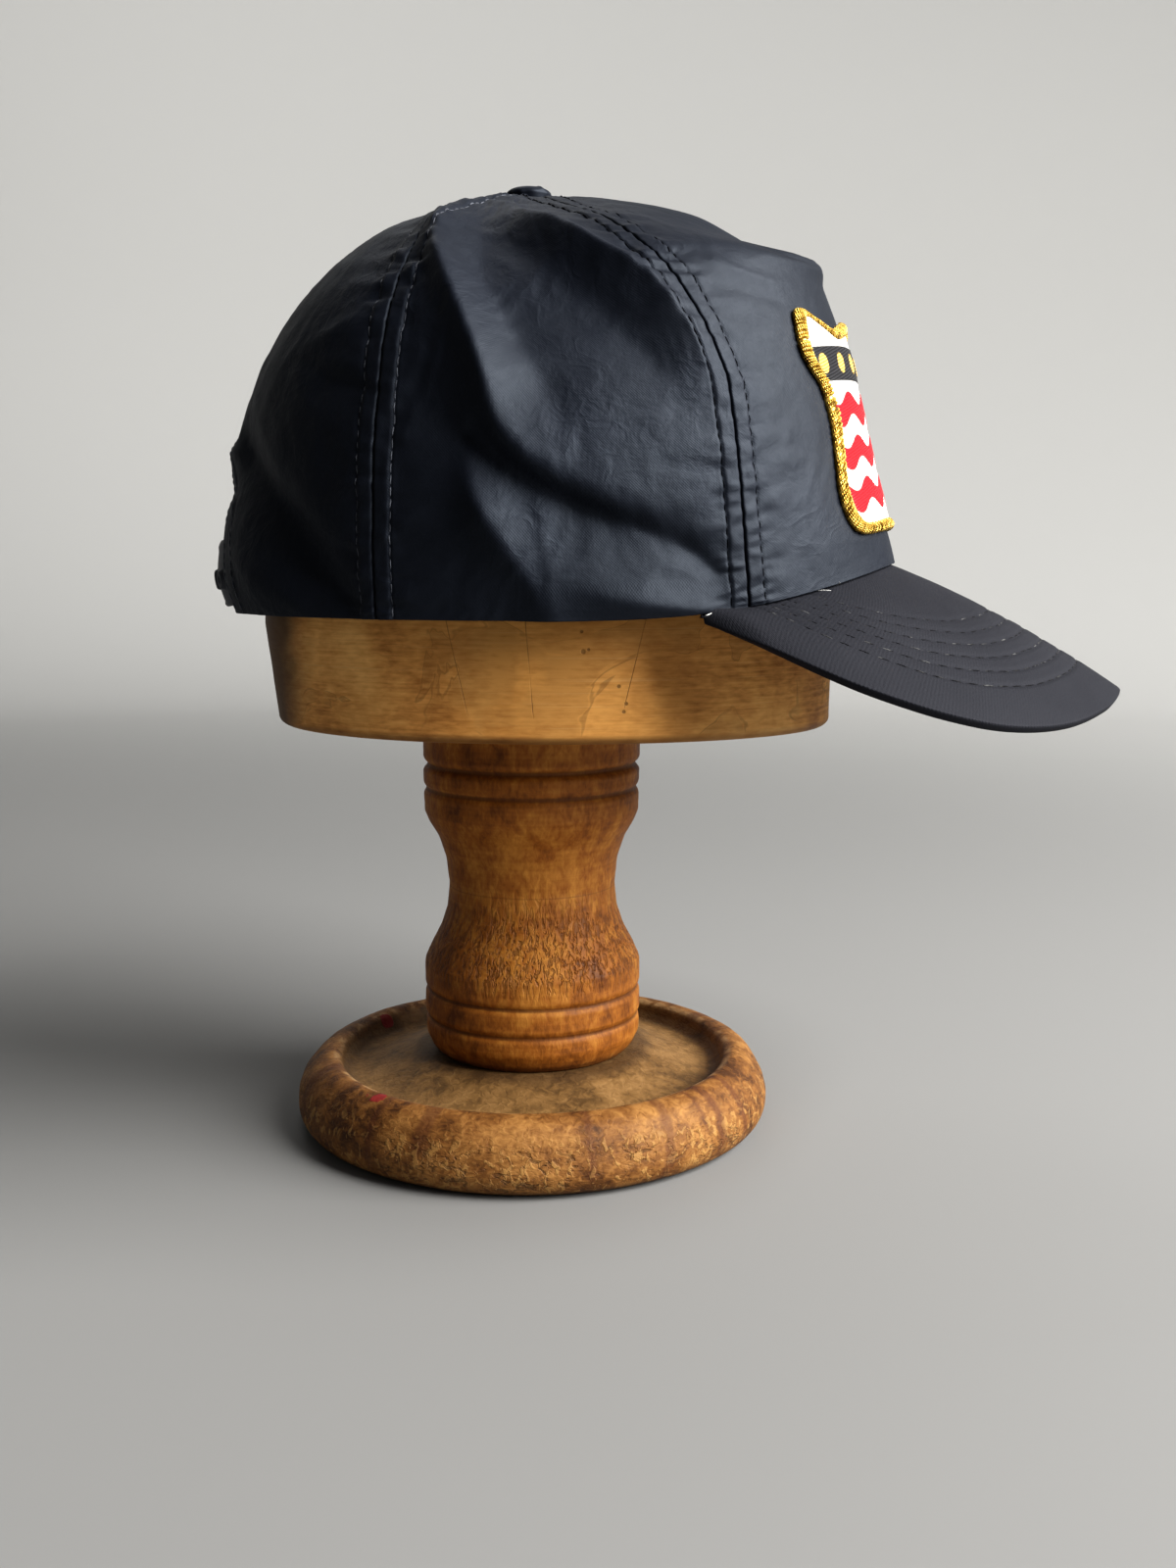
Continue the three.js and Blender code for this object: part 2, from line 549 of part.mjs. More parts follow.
add('front_panel', frontPanel(), nylon);
add('side_panel_right', sidePanel(1), nylon);
add('side_panel_left', sidePanel(-1), nylon);
add('back_panel_right', backPanel(1), nylon);
add('back_panel_left', backPanel(-1), nylon);
add('crown_button', crownButton(), nylon);
add('brim', brim(), brimCloth);
add('patch', patchField(), whiteCloth);
add('patch_border', patchBorder(), goldThread);
add('snap_strap', snapStrap(), plastic);
add('hat_block', hatBlock(), paleWood);
add('stand_post', standPost(), brownWood);
add('stand_base', standBase(), oldWood);

export default capOnStand;
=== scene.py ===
"""Looks of a five-panel trucker cap on its turned wooden hat stand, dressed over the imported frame.

Tables hold millimetres and degrees. They follow the part's own sizes, with finer folds; meshes are in
metres. The cap faces -Y. Angles round the crown start at the front and grow towards the wearer's right,
which is -X.
"""
import functools

import bpy
import numpy as np
from mathutils import Matrix, Vector


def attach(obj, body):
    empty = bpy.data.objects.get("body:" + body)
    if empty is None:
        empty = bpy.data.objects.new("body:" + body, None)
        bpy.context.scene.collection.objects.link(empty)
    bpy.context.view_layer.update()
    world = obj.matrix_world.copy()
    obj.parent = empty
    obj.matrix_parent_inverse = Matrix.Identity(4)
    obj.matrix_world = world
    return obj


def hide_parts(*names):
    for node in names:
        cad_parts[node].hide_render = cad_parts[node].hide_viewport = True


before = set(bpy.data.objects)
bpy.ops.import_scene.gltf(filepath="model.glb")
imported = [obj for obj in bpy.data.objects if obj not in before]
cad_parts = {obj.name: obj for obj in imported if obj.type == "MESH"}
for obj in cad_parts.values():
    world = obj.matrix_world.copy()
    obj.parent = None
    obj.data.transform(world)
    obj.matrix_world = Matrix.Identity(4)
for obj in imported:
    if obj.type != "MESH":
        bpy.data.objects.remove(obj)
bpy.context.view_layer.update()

MM = 0.001
RAD = np.pi / 180
TURN = 2 * np.pi

# Crown: reach from the button's axis and height, at the front, the side and the back
CROWN = np.array([
    (106.0, 169.0, 82.0, 155.0, 88.5, 155.5),   # rim
    (104.0, 177.0, 82.8, 164.0, 91.5, 167.0),   # hem
    (99.0, 194.0, 83.0, 183.0, 88.5, 186.0),    # low
    (94.5, 212.0, 81.5, 203.0, 83.5, 205.0),    # middle
    (89.5, 231.0, 77.5, 222.0, 76.5, 223.0),    # high
    (84.5, 244.5, 70.0, 238.0, 66.0, 239.5),    # crease
    (82.8, 251.5, 60.5, 249.0, 54.5, 251.5),    # corner
    (69.0, 253.8, 48.0, 258.5, 41.0, 261.0),    # hollow
    (51.0, 264.4, 33.0, 263.8, 27.5, 266.4),    # top
    (28.0, 270.4, 17.0, 268.4, 14.5, 270.6),    # crown
    (3.0, 271.8, 3.0, 271.8, 3.0, 271.8),       # apex
])
FRONT_R, FRONT_Z, SIDE_R, SIDE_Z, BACK_R, BACK_Z = CROWN.T
LAST = len(CROWN) - 1
FRONT_LIFT, BACK_LIFT = 5, 2      # how soon the height leaves the side's for the end's
SECTION_STEP = 16                 # mean distance along the cloth from one section to the next
CLOTH_RADIUS = 85                 # turns an angle into a distance across the cloth

# Seams between the panels: section, then the angle of the front and the back seam
SEAMS = np.array([(0, 42, 106), (3.5, 43, 106), (6, 52, 107), (8, 58, 112), (10, 64, 120)])

# Folds of the slack cloth: the distances at which each fades left and right of its way and the radius of
# its crest, then the places that it runs through as angle, section and rise
FOLDS = [
    ("right ridge", 4.0, 6.0, 1.5, [
        (98, 9.75, 0.4), (103, 9.1, 1.5), (109, 7.9, 2.5), (103, 6.5, 4.8), (97, 5.4, 5.6), (91, 4.5, 6.0),
        (86.5, 3.7, 6.4), (84.2, 3.05, 5.8), (80.5, 2.6, 3.2), (71, 2.35, 0)]),
    ("right ridge tail", 2.5, 7.0, 1.2, [
        (83, 3.1, 0), (78, 2.5, 2.2), (70, 2.2, 2.6), (62, 1.97, 1.8), (52, 1.7, 0)]),
    ("right pocket", 8.0, 5.0, 4.0, [
        (106, 4.0, 0), (95, 3.2, -2.0), (88, 2.8, -3.4), (83, 2.5, -2.0), (78, 2.3, 0)]),
    ("right valley", 11.0, 2.8, 1.0, [
        (89, 3.05, 0), (85, 2.72, -3.0), (80.5, 2.4, -5.0), (74, 2.14, -5.6), (67, 1.89, -5.0),
        (60, 1.71, -4.2), (53, 1.5, -3.4), (48, 1.15, -2.6), (45, 0.7, 0)]),
    ("right low ridge", 5.0, 9.0, 1.8, [
        (89.5, 2.85, 0), (88.5, 2.4, 3.6), (86.5, 2.0, 6.2), (83.5, 1.66, 6.0), (80.5, 1.35, 4.6),
        (77.6, 1.0, 3.2), (75.8, 0.5, 2.4), (75.2, -0.2, 2.0)]),
    ("right low swell", 7.0, 9.0, 3.0, [
        (76, 1.1, 0), (66, 0.8, 2.8), (57, 0.5, 3.0), (49, 0.2, 1.4), (43, 0, 0)]),
    ("right seam hollow", 20.0, 9.0, 4.0, [
        (96, 7.9, 0), (86, 6.8, -2.6), (76, 5.9, -4.2), (67.5, 5.0, -5.0), (60.5, 4.3, -4.6),
        (55, 3.7, -3.0), (50, 3.2, -1.2), (46, 2.8, 0)]),
    ("right seam edge", 7.0, 3.6, 0.8, [
        (96, 8.8, 0), (80, 7.4, 2.6), (69, 6.5, 4.4), (60.5, 5.6, 5.4), (54.5, 5.0, 5.4), (50.5, 4.4, 4.6),
        (47.5, 3.8, 2.6), (45, 3.1, 0)]),
    ("right flank hollow", 6.0, 20.0, 3.0, [
        (100, 8.8, 0), (95.5, 7.6, -2.8), (91, 6.6, -4.0), (88.5, 5.5, -4.4), (83.5, 4.6, -4.4),
        (78, 3.9, -3.6), (74, 3.3, -2.2), (70, 2.8, -0.8), (65, 2.4, 0)]),
    ("right wing valley", 9.0, 5.0, 2.0, [
        (154, 3.0, 0), (146, 2.65, -4.5), (134, 2.1, -7.0), (125, 1.65, -7.0), (117, 1.1, -4.5),
        (108, 0.3, 0)]),
    ("right arch lip", 3.0, 2.5, 1.0, [
        (146, 2.85, 0), (156, 2.75, 1.3), (166, 2.72, 1.3), (178, 2.75, 0.6)]),
    ("right arch notch", 4.0, 4.0, 2.0, [
        (147, 2.35, 0), (156, 2.2, -1.6), (164, 2.1, -2.6), (176, 2.1, -2.6)]),
    ("front high crease", 1.6, 2.6, 0.5, [(44, 5.7, 0), (36, 5.25, 0.7), (26, 4.95, 0.5), (15, 4.8, 0)]),
    ("front low crease", 2.4, 1.6, 0.5, [(42, 5.0, 0), (33, 4.75, -0.6), (23, 4.55, -0.5), (12, 4.5, 0)]),
    ("front top dent", 4.0, 3.0, 1.5, [(26, 6.4, 0), (19, 6.0, -1.2), (11, 5.8, -1.2), (0, 5.7, 0)]),
    ("right wing ridge", 8.0, 8.0, 5.0, [(152, 1.9, 0), (138, 1.2, 2.2), (126, 0.6, 1.8), (116, 0.1, 0)]),
    ("right seam draw", 2.2, 1.6, 0.8, [
        (128, 3.95, 0), (118, 3.65, -1.2), (110, 3.5, -0.9), (105, 3.45, 0)]),
    ("right high draw", 2.5, 2.0, 0.8, [(127, 4.1, 0), (120, 4.3, 1.0), (113, 4.45, 0.8), (107, 4.5, 0)]),
    ("left ridge", 7.0, 4.5, 2.2, [
        (-94, 9.2, 0), (-95, 7.2, 3.0), (-88, 5.2, 4.2), (-81, 3.6, 4.2), (-72, 2.8, 2.4), (-58, 2.4, 0)]),
    ("left seam hollow", 6.0, 13.0, 3.0, [
        (-90, 7.4, 0), (-76, 5.8, -4.0), (-66, 4.6, -4.6), (-56, 3.6, -2.6), (-46, 2.8, 0)]),
    ("left valley", 3.5, 4.0, 1.6, [
        (-102, 2.9, 0), (-88, 2.2, -2.6), (-74, 1.9, -3.0), (-60, 1.65, -2.0), (-48, 1.3, 0)]),
    ("left low ridge", 5.0, 8.0, 2.5, [(-100, 1.9, 0), (-86, 1.4, 2.6), (-70, 1.1, 2.6), (-48, 0.7, 0)]),
    ("left wing valley", 8.0, 6.0, 3.0, [
        (-152, 3.0, 0), (-138, 2.4, -4.0), (-124, 1.7, -4.4), (-110, 0.6, 0)]),
    ("pressed crease", 1.2, 5.0, 0.3, [(77, 2.2, 0), (76.3, 1.8, 0.6), (75, 1.1, 0.5), (74, 0.1, 0.3)]),
]
FOLD_STEPS, FOLD_BLEND = 16, 2.5  # stretches of a fold's line, and the distance over which they blend

# Cloth of the crown, its seams and its hems
CLOTH, FOAM_CLOTH = 1.4, 2.4      # side and back panels; foam-backed front panel
LIP, LIP_LEAST = 0.38, 0.12       # rounding at a panel's edge, and the share of its thickness left there
SEAM_GAP = 0.08                   # half of the slit between two panels
STITCH_OFFSET = 4.8               # from a seam to the line of stitches beside it
HEM_WIDE, HEM_RISE = 10.0, 0.3
ARCH_HALF_ANGLE, ARCH_SECTION = 32, 2.75
ARCH_WING = 0.52                  # share of a back panel's columns that stand beside the arch
BACK_FROM = 2.2                   # radians past which the centre back seam and the arch count

# Low relief of the cloth: rises and depths, and the lengths over which they change
SIDE_CRINKLE, FRONT_CRINKLE = 0.42, 0.28
BAND_RISE, BAND_EDGE = 0.4, 0.4
GROOVE_DEPTH, GROOVE_WIDE = 0.3, 0.5
STITCH_DIP, DIP_WIDE = 0.34, 0.42
PUCKER_RISE, PUCKER_LONG, PUCKER_STEP, PUCKER_MIDDLE, PUCKER_WIDE = 0.6, 8, 2.3, 3.5, 4.5
SLACK_HEIGHT, SLACK_WIDE = 93, 12      # distance up the cloth where the puckers are twice as high
DRAW_RISE, DRAW_LONG, DRAW_STEP = 0.6, 17, 5.5
CRINKLE_SEED, RIGHT_SEED, LEFT_SEED, CENTRE_SEED = 11, 20, 30, 41

# Faces up and across each kind of panel
PANEL_ROWS, FRONT_COLS, SIDE_COLS, BACK_COLS = 160, 160, 140, 110
LATTICE = 64                      # cells after which a random height repeats


def along(rows, s):
    """Value at fractional rows of a table: a Catmull-Rom curve through the rows, its end rows repeated."""
    rows, s = np.asarray(rows, float), np.asarray(s, float)
    last = len(rows) - 1
    i = np.clip(np.floor(s).astype(int), 0, last - 1)
    f = s - i if rows.ndim == 1 else (s - i)[..., None]
    a, b, c, d = (rows[np.clip(i + k, 0, last)] for k in (-1, 0, 1, 2))
    return b + 0.5 * f * (c - a + f * (2 * a - 5 * b + 4 * c - d + f * (3 * (b - c) + d - a)))


def unit(vectors):
    """Vectors divided by their lengths."""
    return vectors / np.linalg.norm(vectors, axis=-1, keepdims=True)


def smoothstep(low, high, x):
    """Nought below low, one above high, and a smooth S between them."""
    t = np.clip((x - low) / (high - low), 0, 1)
    return t * t * (3 - 2 * t)


def bell(x, wide):
    """Bell curve exp(-(x / wide) ** 2)."""
    return np.exp(-(x / wide) ** 2)


def ripple(u, v, seed, wrap=LATTICE):
    """Smooth random height, about -1 to 1, on unit cells: every corner of the lattice has a seeded slope,
    and a quintic step joins the four corners of a cell. It repeats after a number of cells across."""
    turns = np.random.default_rng(seed).uniform(0, TURN, (wrap, LATTICE))
    i, j = np.floor(u).astype(int), np.floor(v).astype(int)
    f, g = u - i, v - j

    def corner(a, b):
        turn = turns[(i + a) % wrap, (j + b) % LATTICE]
        return np.cos(turn) * (f - a) + np.sin(turn) * (g - b)

    across, up = (t ** 3 * (t * (6 * t - 15) + 10) for t in (f, g))
    low = corner(0, 0) + across * (corner(1, 0) - corner(0, 0))
    high = corner(0, 1) + across * (corner(1, 1) - corner(0, 1))
    return 1.5 * (low + up * (high - low))


def round_ripple(angle, v, cells, seed):
    """Ripple that closes on itself after a number of cells round the axis."""
    return ripple(angle * cells / TURN, v, seed, wrap=cells)


def dense_ends(count, share=0.72):
    """Steps from 0 to 1 that are short at both ends: q - share * sin(2 pi q) / 2 pi."""
    q = np.linspace(0, 1, count + 1)
    return q - share * np.sin(TURN * q) / TURN


def dense_start(count, share=0.6):
    """Steps from 0 to 1 that are short at the start: q - share * sin(pi q) / pi."""
    q = np.linspace(0, 1, count + 1)
    return q - share * np.sin(np.pi * q) / np.pi


def round_steps(count):
    """Angles of the columns of a round body, as one row."""
    return np.linspace(0, TURN, count, endpoint=False)[None, :]


def grid_faces(rows, cols, wrap=False):
    """Quads of a grid of points, counter-clockwise where columns run right and rows run up."""
    i, j = np.meshgrid(np.arange(rows - 1), np.arange(cols if wrap else cols - 1), indexing="ij")
    right = (j + 1) % cols
    quads = (i * cols + j, i * cols + right, (i + 1) * cols + right, (i + 1) * cols + j)
    return np.stack(quads, axis=-1).reshape(-1, 4)


def wall(outer, inner, uv):
    """Closed wall between two grids of one size: both faces, and a strip round their four edges."""
    rows, cols = outer.shape[:2]
    faces = grid_faces(rows, cols)
    index = np.arange(rows * cols).reshape(rows, cols)
    rim = np.concatenate([index[0], index[1:, -1], index[-1, -2::-1], index[-2::-1, 0]])
    strip = np.stack([rim[:-1], rim[1:], rim[1:] + rows * cols, rim[:-1] + rows * cols], axis=-1)
    points = np.concatenate([outer.reshape(-1, 3), inner.reshape(-1, 3)])
    all_faces = [faces[:, ::-1], faces + rows * cols, strip]
    return points, all_faces, np.concatenate([uv.reshape(-1, 2)] * 2)


def slab(middle, normal, half, uv):
    """Closed wall that reaches half of its thickness to both sides of a middle surface."""
    off = normal * half[..., None]
    return wall(middle + off, middle - off, uv)


def rounded(d, lip, least):
    """Share of a wall's thickness at a distance from its edge: sqrt(1 - (1 - d / lip) ** 2), but no less
    than a least share."""
    d = np.clip(d / lip, 0, 1)
    return np.maximum(np.sqrt(1 - (1 - d) ** 2), least)


def turned(radius, height, angle):
    """Round body: rings of points at a radius and height that may change round the axis, from the lowest
    ring to the highest, closed by a fan of triangles to the axis at both ends."""
    radius, height, angle = np.broadcast_arrays(radius, height, angle)
    rows, cols = radius.shape
    ring = np.stack([-radius * np.sin(angle), -radius * np.cos(angle), height], axis=-1).reshape(-1, 3)
    poles = np.array([(0, 0, height[0].mean()), (0, 0, height[-1].mean())])
    first = np.arange(cols)
    second = (first + 1) % cols
    top = (rows - 1) * cols
    below = np.stack([np.full(cols, rows * cols), first, second], axis=-1)
    above = np.stack([np.full(cols, rows * cols + 1), top + second, top + first], axis=-1)
    return np.concatenate([ring, poles]), [grid_faces(rows, cols, wrap=True)[:, ::-1], below, above], None


def joined(shapes):
    """Several shapes as one: their points in a row, and each one's faces moved past the points before it."""
    offsets = np.cumsum([0] + [len(shape[0]) for shape in shapes[:-1]])
    faces = [part + offset for shape, offset in zip(shapes, offsets) for part in shape[1]]
    points, uv = (np.concatenate([shape[k] for shape in shapes]) for k in (0, 2))
    return points, faces, uv


def dress(name, shape, material, slot, *nodes):
    """Put a shape into a mesh of its own, give it its finish, and hang it on the frame or, with no slot, on
    the stage."""
    points, faces, uv = shape
    mesh = bpy.data.meshes.new(name)
    corners = np.concatenate([part.ravel() for part in faces]).astype(np.int32)
    sizes = np.concatenate([np.full(len(part), part.shape[1]) for part in faces])
    starts = np.concatenate([[0], np.cumsum(sizes)[:-1]]).astype(np.int32)
    mesh.vertices.add(len(points))
    mesh.vertices.foreach_set("co", (points * MM).astype(np.float32).ravel())
    mesh.loops.add(len(corners))
    mesh.loops.foreach_set("vertex_index", corners)
    mesh.polygons.add(len(sizes))
    mesh.polygons.foreach_set("loop_start", starts)
    mesh.polygons.foreach_set("use_smooth", np.ones(len(sizes), bool))
    if uv is not None:
        layer = mesh.uv_layers.new(name="cloth")
        layer.data.foreach_set("uv", uv[corners].astype(np.float32).ravel())
    mesh.update(calc_edges=True)
    mesh.materials.append(material)
    piece = bpy.data.objects.new(name, mesh)
    bpy.context.scene.collection.objects.link(piece)
    if slot is None:
        return
    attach(piece, "root")
    if nodes:
        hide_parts(*nodes)


# Crown cloth

def smooth_crown(angle, s):
    """Crown before any folds: half ovals in plan that meet at the sides, reach 1 / hypot(cos / end, sin /
    side), and a height that goes from the side's to the end's with a power of the cosine."""
    ahead = np.cos(angle) >= 0
    end_r = np.where(ahead, along(FRONT_R, s), along(BACK_R, s))
    end_z = np.where(ahead, along(FRONT_Z, s), along(BACK_Z, s))
    lift = np.abs(np.cos(angle)) ** np.where(ahead, FRONT_LIFT, BACK_LIFT)
    reach = 1 / np.hypot(np.cos(angle) / end_r, np.sin(angle) / along(SIDE_R, s))
    side_z = along(SIDE_Z, s)
    height = side_z + lift * (end_z - side_z)
    return np.stack([-reach * np.sin(angle), -reach * np.cos(angle), height], axis=-1)


def crown_frame(angle, s):
    """Point of the smooth crown, its outward normal, and the distance across the cloth for each radian."""
    step = 1e-3
    up = smooth_crown(angle, np.minimum(s + step, LAST)) - smooth_crown(angle, np.maximum(s - step, 0))
    across = (smooth_crown(angle + step, s) - smooth_crown(angle - step, s)) / (2 * step)
    return smooth_crown(angle, s), unit(np.cross(up, across)), np.linalg.norm(across, axis=-1)


def seam_angle(seam, s):
    """Angle of the front seam (1) or the back seam (2) at a section, straight between its table's rows."""
    return np.interp(s, SEAMS[:, 0], SEAMS[:, seam]) * RAD


def cloth_length(s):
    """Distance up the cloth from the rim to a section, along the sides."""
    steps = np.hypot(np.diff(SIDE_R), np.diff(SIDE_Z))
    return np.interp(s, np.arange(LAST + 1), np.concatenate([[0], np.cumsum(steps)]))


def line_distance(angle, s, path):
    """Distances across the cloth to every stretch of a line of places (angle, section), the shares of the
    line at their nearest places, and on which side: positive left of the way from first place to last."""
    radius = along(SIDE_R, s)
    count = len(path) - 1
    shape = (count,) + (1,) * angle.ndim
    start_u, start_v = (column.reshape(shape) for column in path[:-1].T)
    run_u, run_v = (column.reshape(shape) for column in np.diff(path, axis=0).T)
    run_u, run_v = run_u * radius, run_v * SECTION_STEP
    off_u, off_v = (angle - start_u) * radius, (s - start_v) * SECTION_STEP
    t = np.clip((off_u * run_u + off_v * run_v) / (run_u ** 2 + run_v ** 2), 0, 1)
    distance = np.hypot(off_u - t * run_u, off_v - t * run_v)
    share = (np.arange(count).reshape(shape) + t) / count
    return distance, share, run_u * off_v - run_v * off_u


def fold_rise(angle, s):
    """How far the folds push the cloth out: each falls off as exp(-(hypot(d, crest) - crest) / fade) from
    its line, with a fade of its own on the left and right; its rise and fade are the means of those along
    the line, weighted by exp(-(d - nearest) / blend)."""
    total = np.zeros(angle.shape)
    shares = np.linspace(0, 1, FOLD_STEPS + 1)
    for _, left, right, crest, places in FOLDS:
        path = along(places, shares * (len(places) - 1)) * (RAD, 1, 1)
        distance, share, side = line_distance(angle, s, path[:, :2])
        nearest = distance.min(axis=0)
        weight = np.exp(-(distance - nearest) / FOLD_BLEND)
        weight /= weight.sum(axis=0)
        rise = (weight * np.interp(share, shares, path[:, 2])).sum(axis=0)
        fade = (weight * np.where(side > 0, left, right)).sum(axis=0)
        total += rise * np.exp(-(np.hypot(nearest, crest) - crest) / fade)
    return total


def crinkle(u, v, seed):
    """Creases of crushed nylon: ridges where a bent random height passes through nought, at two sizes."""
    bend = ripple(u / 34, v / 34, seed)
    coarse = 1 - 2 * np.abs(ripple(u / 19 + bend, v / 23 - bend, seed + 1))
    fine = 1 - 2 * np.abs(ripple(u / 8 + 2 * bend, v / 10 + bend, seed + 2))
    return 0.6 * coarse + 0.35 * fine - 0.4


def seam_relief(d, v, seed):
    """Low relief across a seam at a distance d: a groove, a raised band of turned-in cloth, a dip along
    the stitches on both sides, puckers across the band, and longer draws in the cloth beside it."""
    off = np.abs(d)
    band = 1 / (1 + np.exp(np.clip((off - STITCH_OFFSET) / BAND_EDGE, -30, 30)))
    slack = 1 + bell(v - SLACK_HEIGHT, SLACK_WIDE)
    pucker = ripple(d / PUCKER_LONG, v / PUCKER_STEP, seed) * bell(off - PUCKER_MIDDLE, PUCKER_WIDE) * slack
    draw = ripple(d / DRAW_LONG, v / DRAW_STEP, seed + 5) * bell(off, DRAW_LONG) * smoothstep(3, 7, off)
    raised = BAND_RISE * band + PUCKER_RISE * pucker + DRAW_RISE * draw
    return raised - GROOVE_DEPTH * bell(d, GROOVE_WIDE) - STITCH_DIP * bell(off - STITCH_OFFSET, DIP_WIDE)


def arch_line():
    """Quarter oval of the right half of the back arch, from its foot on the rim to its top at the centre."""
    turn = np.linspace(0, np.pi / 2, 25)
    return np.stack([np.pi - ARCH_HALF_ANGLE * RAD * np.cos(turn), ARCH_SECTION * np.sin(turn)], axis=-1)


def cloth_relief(angle, s, scale):
    """Everything that stands off the smooth crown: folds, crinkles, seams and the hem of the arch."""
    v, turn = cloth_length(s), np.abs(angle)
    crush = np.where(turn < seam_angle(1, s), FRONT_CRINKLE, SIDE_CRINKLE)
    relief = fold_rise(angle, s) + crush * crinkle(angle * CLOTH_RADIUS, v, CRINKLE_SEED)
    for seam in (1, 2):
        d = (turn - seam_angle(seam, s)) * scale
        left, right = (seam_relief(d, v, seed + seam) for seed in (LEFT_SEED, RIGHT_SEED))
        relief += np.where(angle < 0, left, right)
    at_back = turn > BACK_FROM
    centre = seam_relief((np.pi - turn) * scale, v, CENTRE_SEED)
    relief += np.where(at_back, centre * smoothstep(ARCH_SECTION, ARCH_SECTION + 0.2, s), 0)
    arch_gap = np.where(at_back, line_distance(turn, s, arch_line())[0].min(axis=0), np.inf)
    return relief + HEM_RISE * (1 - smoothstep(HEM_WIDE - 2, HEM_WIDE - 1, arch_gap))


def crown_cloth(angle, s):
    """Point on the dressed crown's outer face, and the smooth crown's normal there."""
    point, normal, scale = crown_frame(angle, s)
    return point + normal * cloth_relief(angle, s, scale)[..., None], normal


def cloth_wall(angle, s, thick, edge):
    """Closed cloth panel: both faces lie off the middle of the cloth by half its thickness, which rounds
    off to a thin lip at the panel's own edges."""
    point, normal, scale = crown_frame(angle, s)
    half = 0.5 * thick * rounded(edge(scale), LIP, LIP_LEAST)
    middle = point + normal * (cloth_relief(angle, s, scale) - 0.5 * thick)[..., None]
    uv = np.stack([angle * CLOTH_RADIUS, cloth_length(s)], axis=-1)
    return slab(middle, normal, half, uv)


def front_panel():
    """Front panel: columns from the left front seam to the right one, rows from the rim to the button."""
    s = LAST * dense_start(PANEL_ROWS)[:, None] + np.zeros(FRONT_COLS + 1)
    seam = seam_angle(1, s) - SEAM_GAP / along(SIDE_R, s)
    angle = seam * (2 * dense_ends(FRONT_COLS, 0.8) - 1)

    def edge(scale):
        return np.minimum((seam - np.abs(angle)) * scale, cloth_length(s))

    return cloth_wall(angle, s, FOAM_CLOTH, edge)


def side_panel(side):
    """Side panel between the front and the back seam, on the wearer's right (1) or left (-1)."""
    s = LAST * dense_start(PANEL_ROWS)[:, None] + np.zeros(SIDE_COLS + 1)
    gap = SEAM_GAP / along(SIDE_R, s)
    ahead, behind = seam_angle(1, s) + gap, seam_angle(2, s) - gap
    angle = ahead + (behind - ahead) * dense_ends(SIDE_COLS)

    def edge(scale):
        return np.minimum(np.minimum(angle - ahead, behind - angle) * scale, cloth_length(s))

    return mirrored_panel(angle, s, edge, side)


def back_panel(side):
    """Back panel: a wing beside the arch, then columns that start along the curve of the arch."""
    q = dense_ends(BACK_COLS, 0.6)
    turn = 0.5 * np.pi * np.clip((q - ARCH_WING) / (1 - ARCH_WING), 0, 1)
    low = ARCH_SECTION * np.sin(turn)
    s = low + (LAST - low) * dense_start(PANEL_ROWS)[:, None]
    gap = SEAM_GAP / along(SIDE_R, s)
    seam, centre = seam_angle(2, s) + gap, np.pi - gap
    foot = np.pi - ARCH_HALF_ANGLE * RAD
    on_wing = q < ARCH_WING
    angle = np.where(on_wing, seam + (foot - seam) * q / ARCH_WING, centre + (foot - centre) * np.cos(turn))

    def edge(scale):
        rim = np.where(on_wing, cloth_length(s), np.inf)
        hem = line_distance(angle, s, arch_line())[0].min(axis=0)
        middle = np.where(low < ARCH_SECTION, np.inf, (centre - angle) * scale)
        return np.minimum.reduce([(angle - seam) * scale, rim, hem, middle])

    return mirrored_panel(angle, s, edge, side)


def mirrored_panel(angle, s, edge, side):
    """A panel made for the wearer's right, or turned to the left with its columns in the other order."""
    if side > 0:
        return cloth_wall(angle, s, CLOTH, edge)
    return cloth_wall(-angle[:, ::-1], s[:, ::-1], CLOTH, lambda scale: edge(scale[:, ::-1])[:, ::-1])


# Stitches

STITCH = dict(pitch=3.0, length=2.75, radius=0.19, lift=0.06)
STITCH_FROM, STITCH_TO = 0.12, 9.55     # sections between which a seam is sewn
STITCH_RINGS, THREAD_SIDES = 5, 6
HEM_ROWS = (1.8, 7.6)                   # distances of the two rows of stitches from the arch


def tubes(centre, side, up, thick):
    """Threads: six-sided tubes of a thickness along rows of points, with the ways to their side and up at
    each point, closed at both ends."""
    count, rings = centre.shape[:2]
    turn = np.arange(THREAD_SIDES) * TURN / THREAD_SIDES
    spokes = side[:, :, None] * np.cos(turn)[:, None] + up[:, :, None] * np.sin(turn)[:, None]
    size = rings * THREAD_SIDES
    each = np.arange(count)[:, None, None] * size
    tube = grid_faces(rings, THREAD_SIDES, wrap=True) + each
    ends = np.stack([np.arange(THREAD_SIDES)[::-1], np.arange(size - THREAD_SIDES, size)]) + each
    points = (centre[:, :, None] + thick * spokes).reshape(-1, 3)
    return points, [tube.reshape(-1, 4), ends.reshape(-1, THREAD_SIDES)]


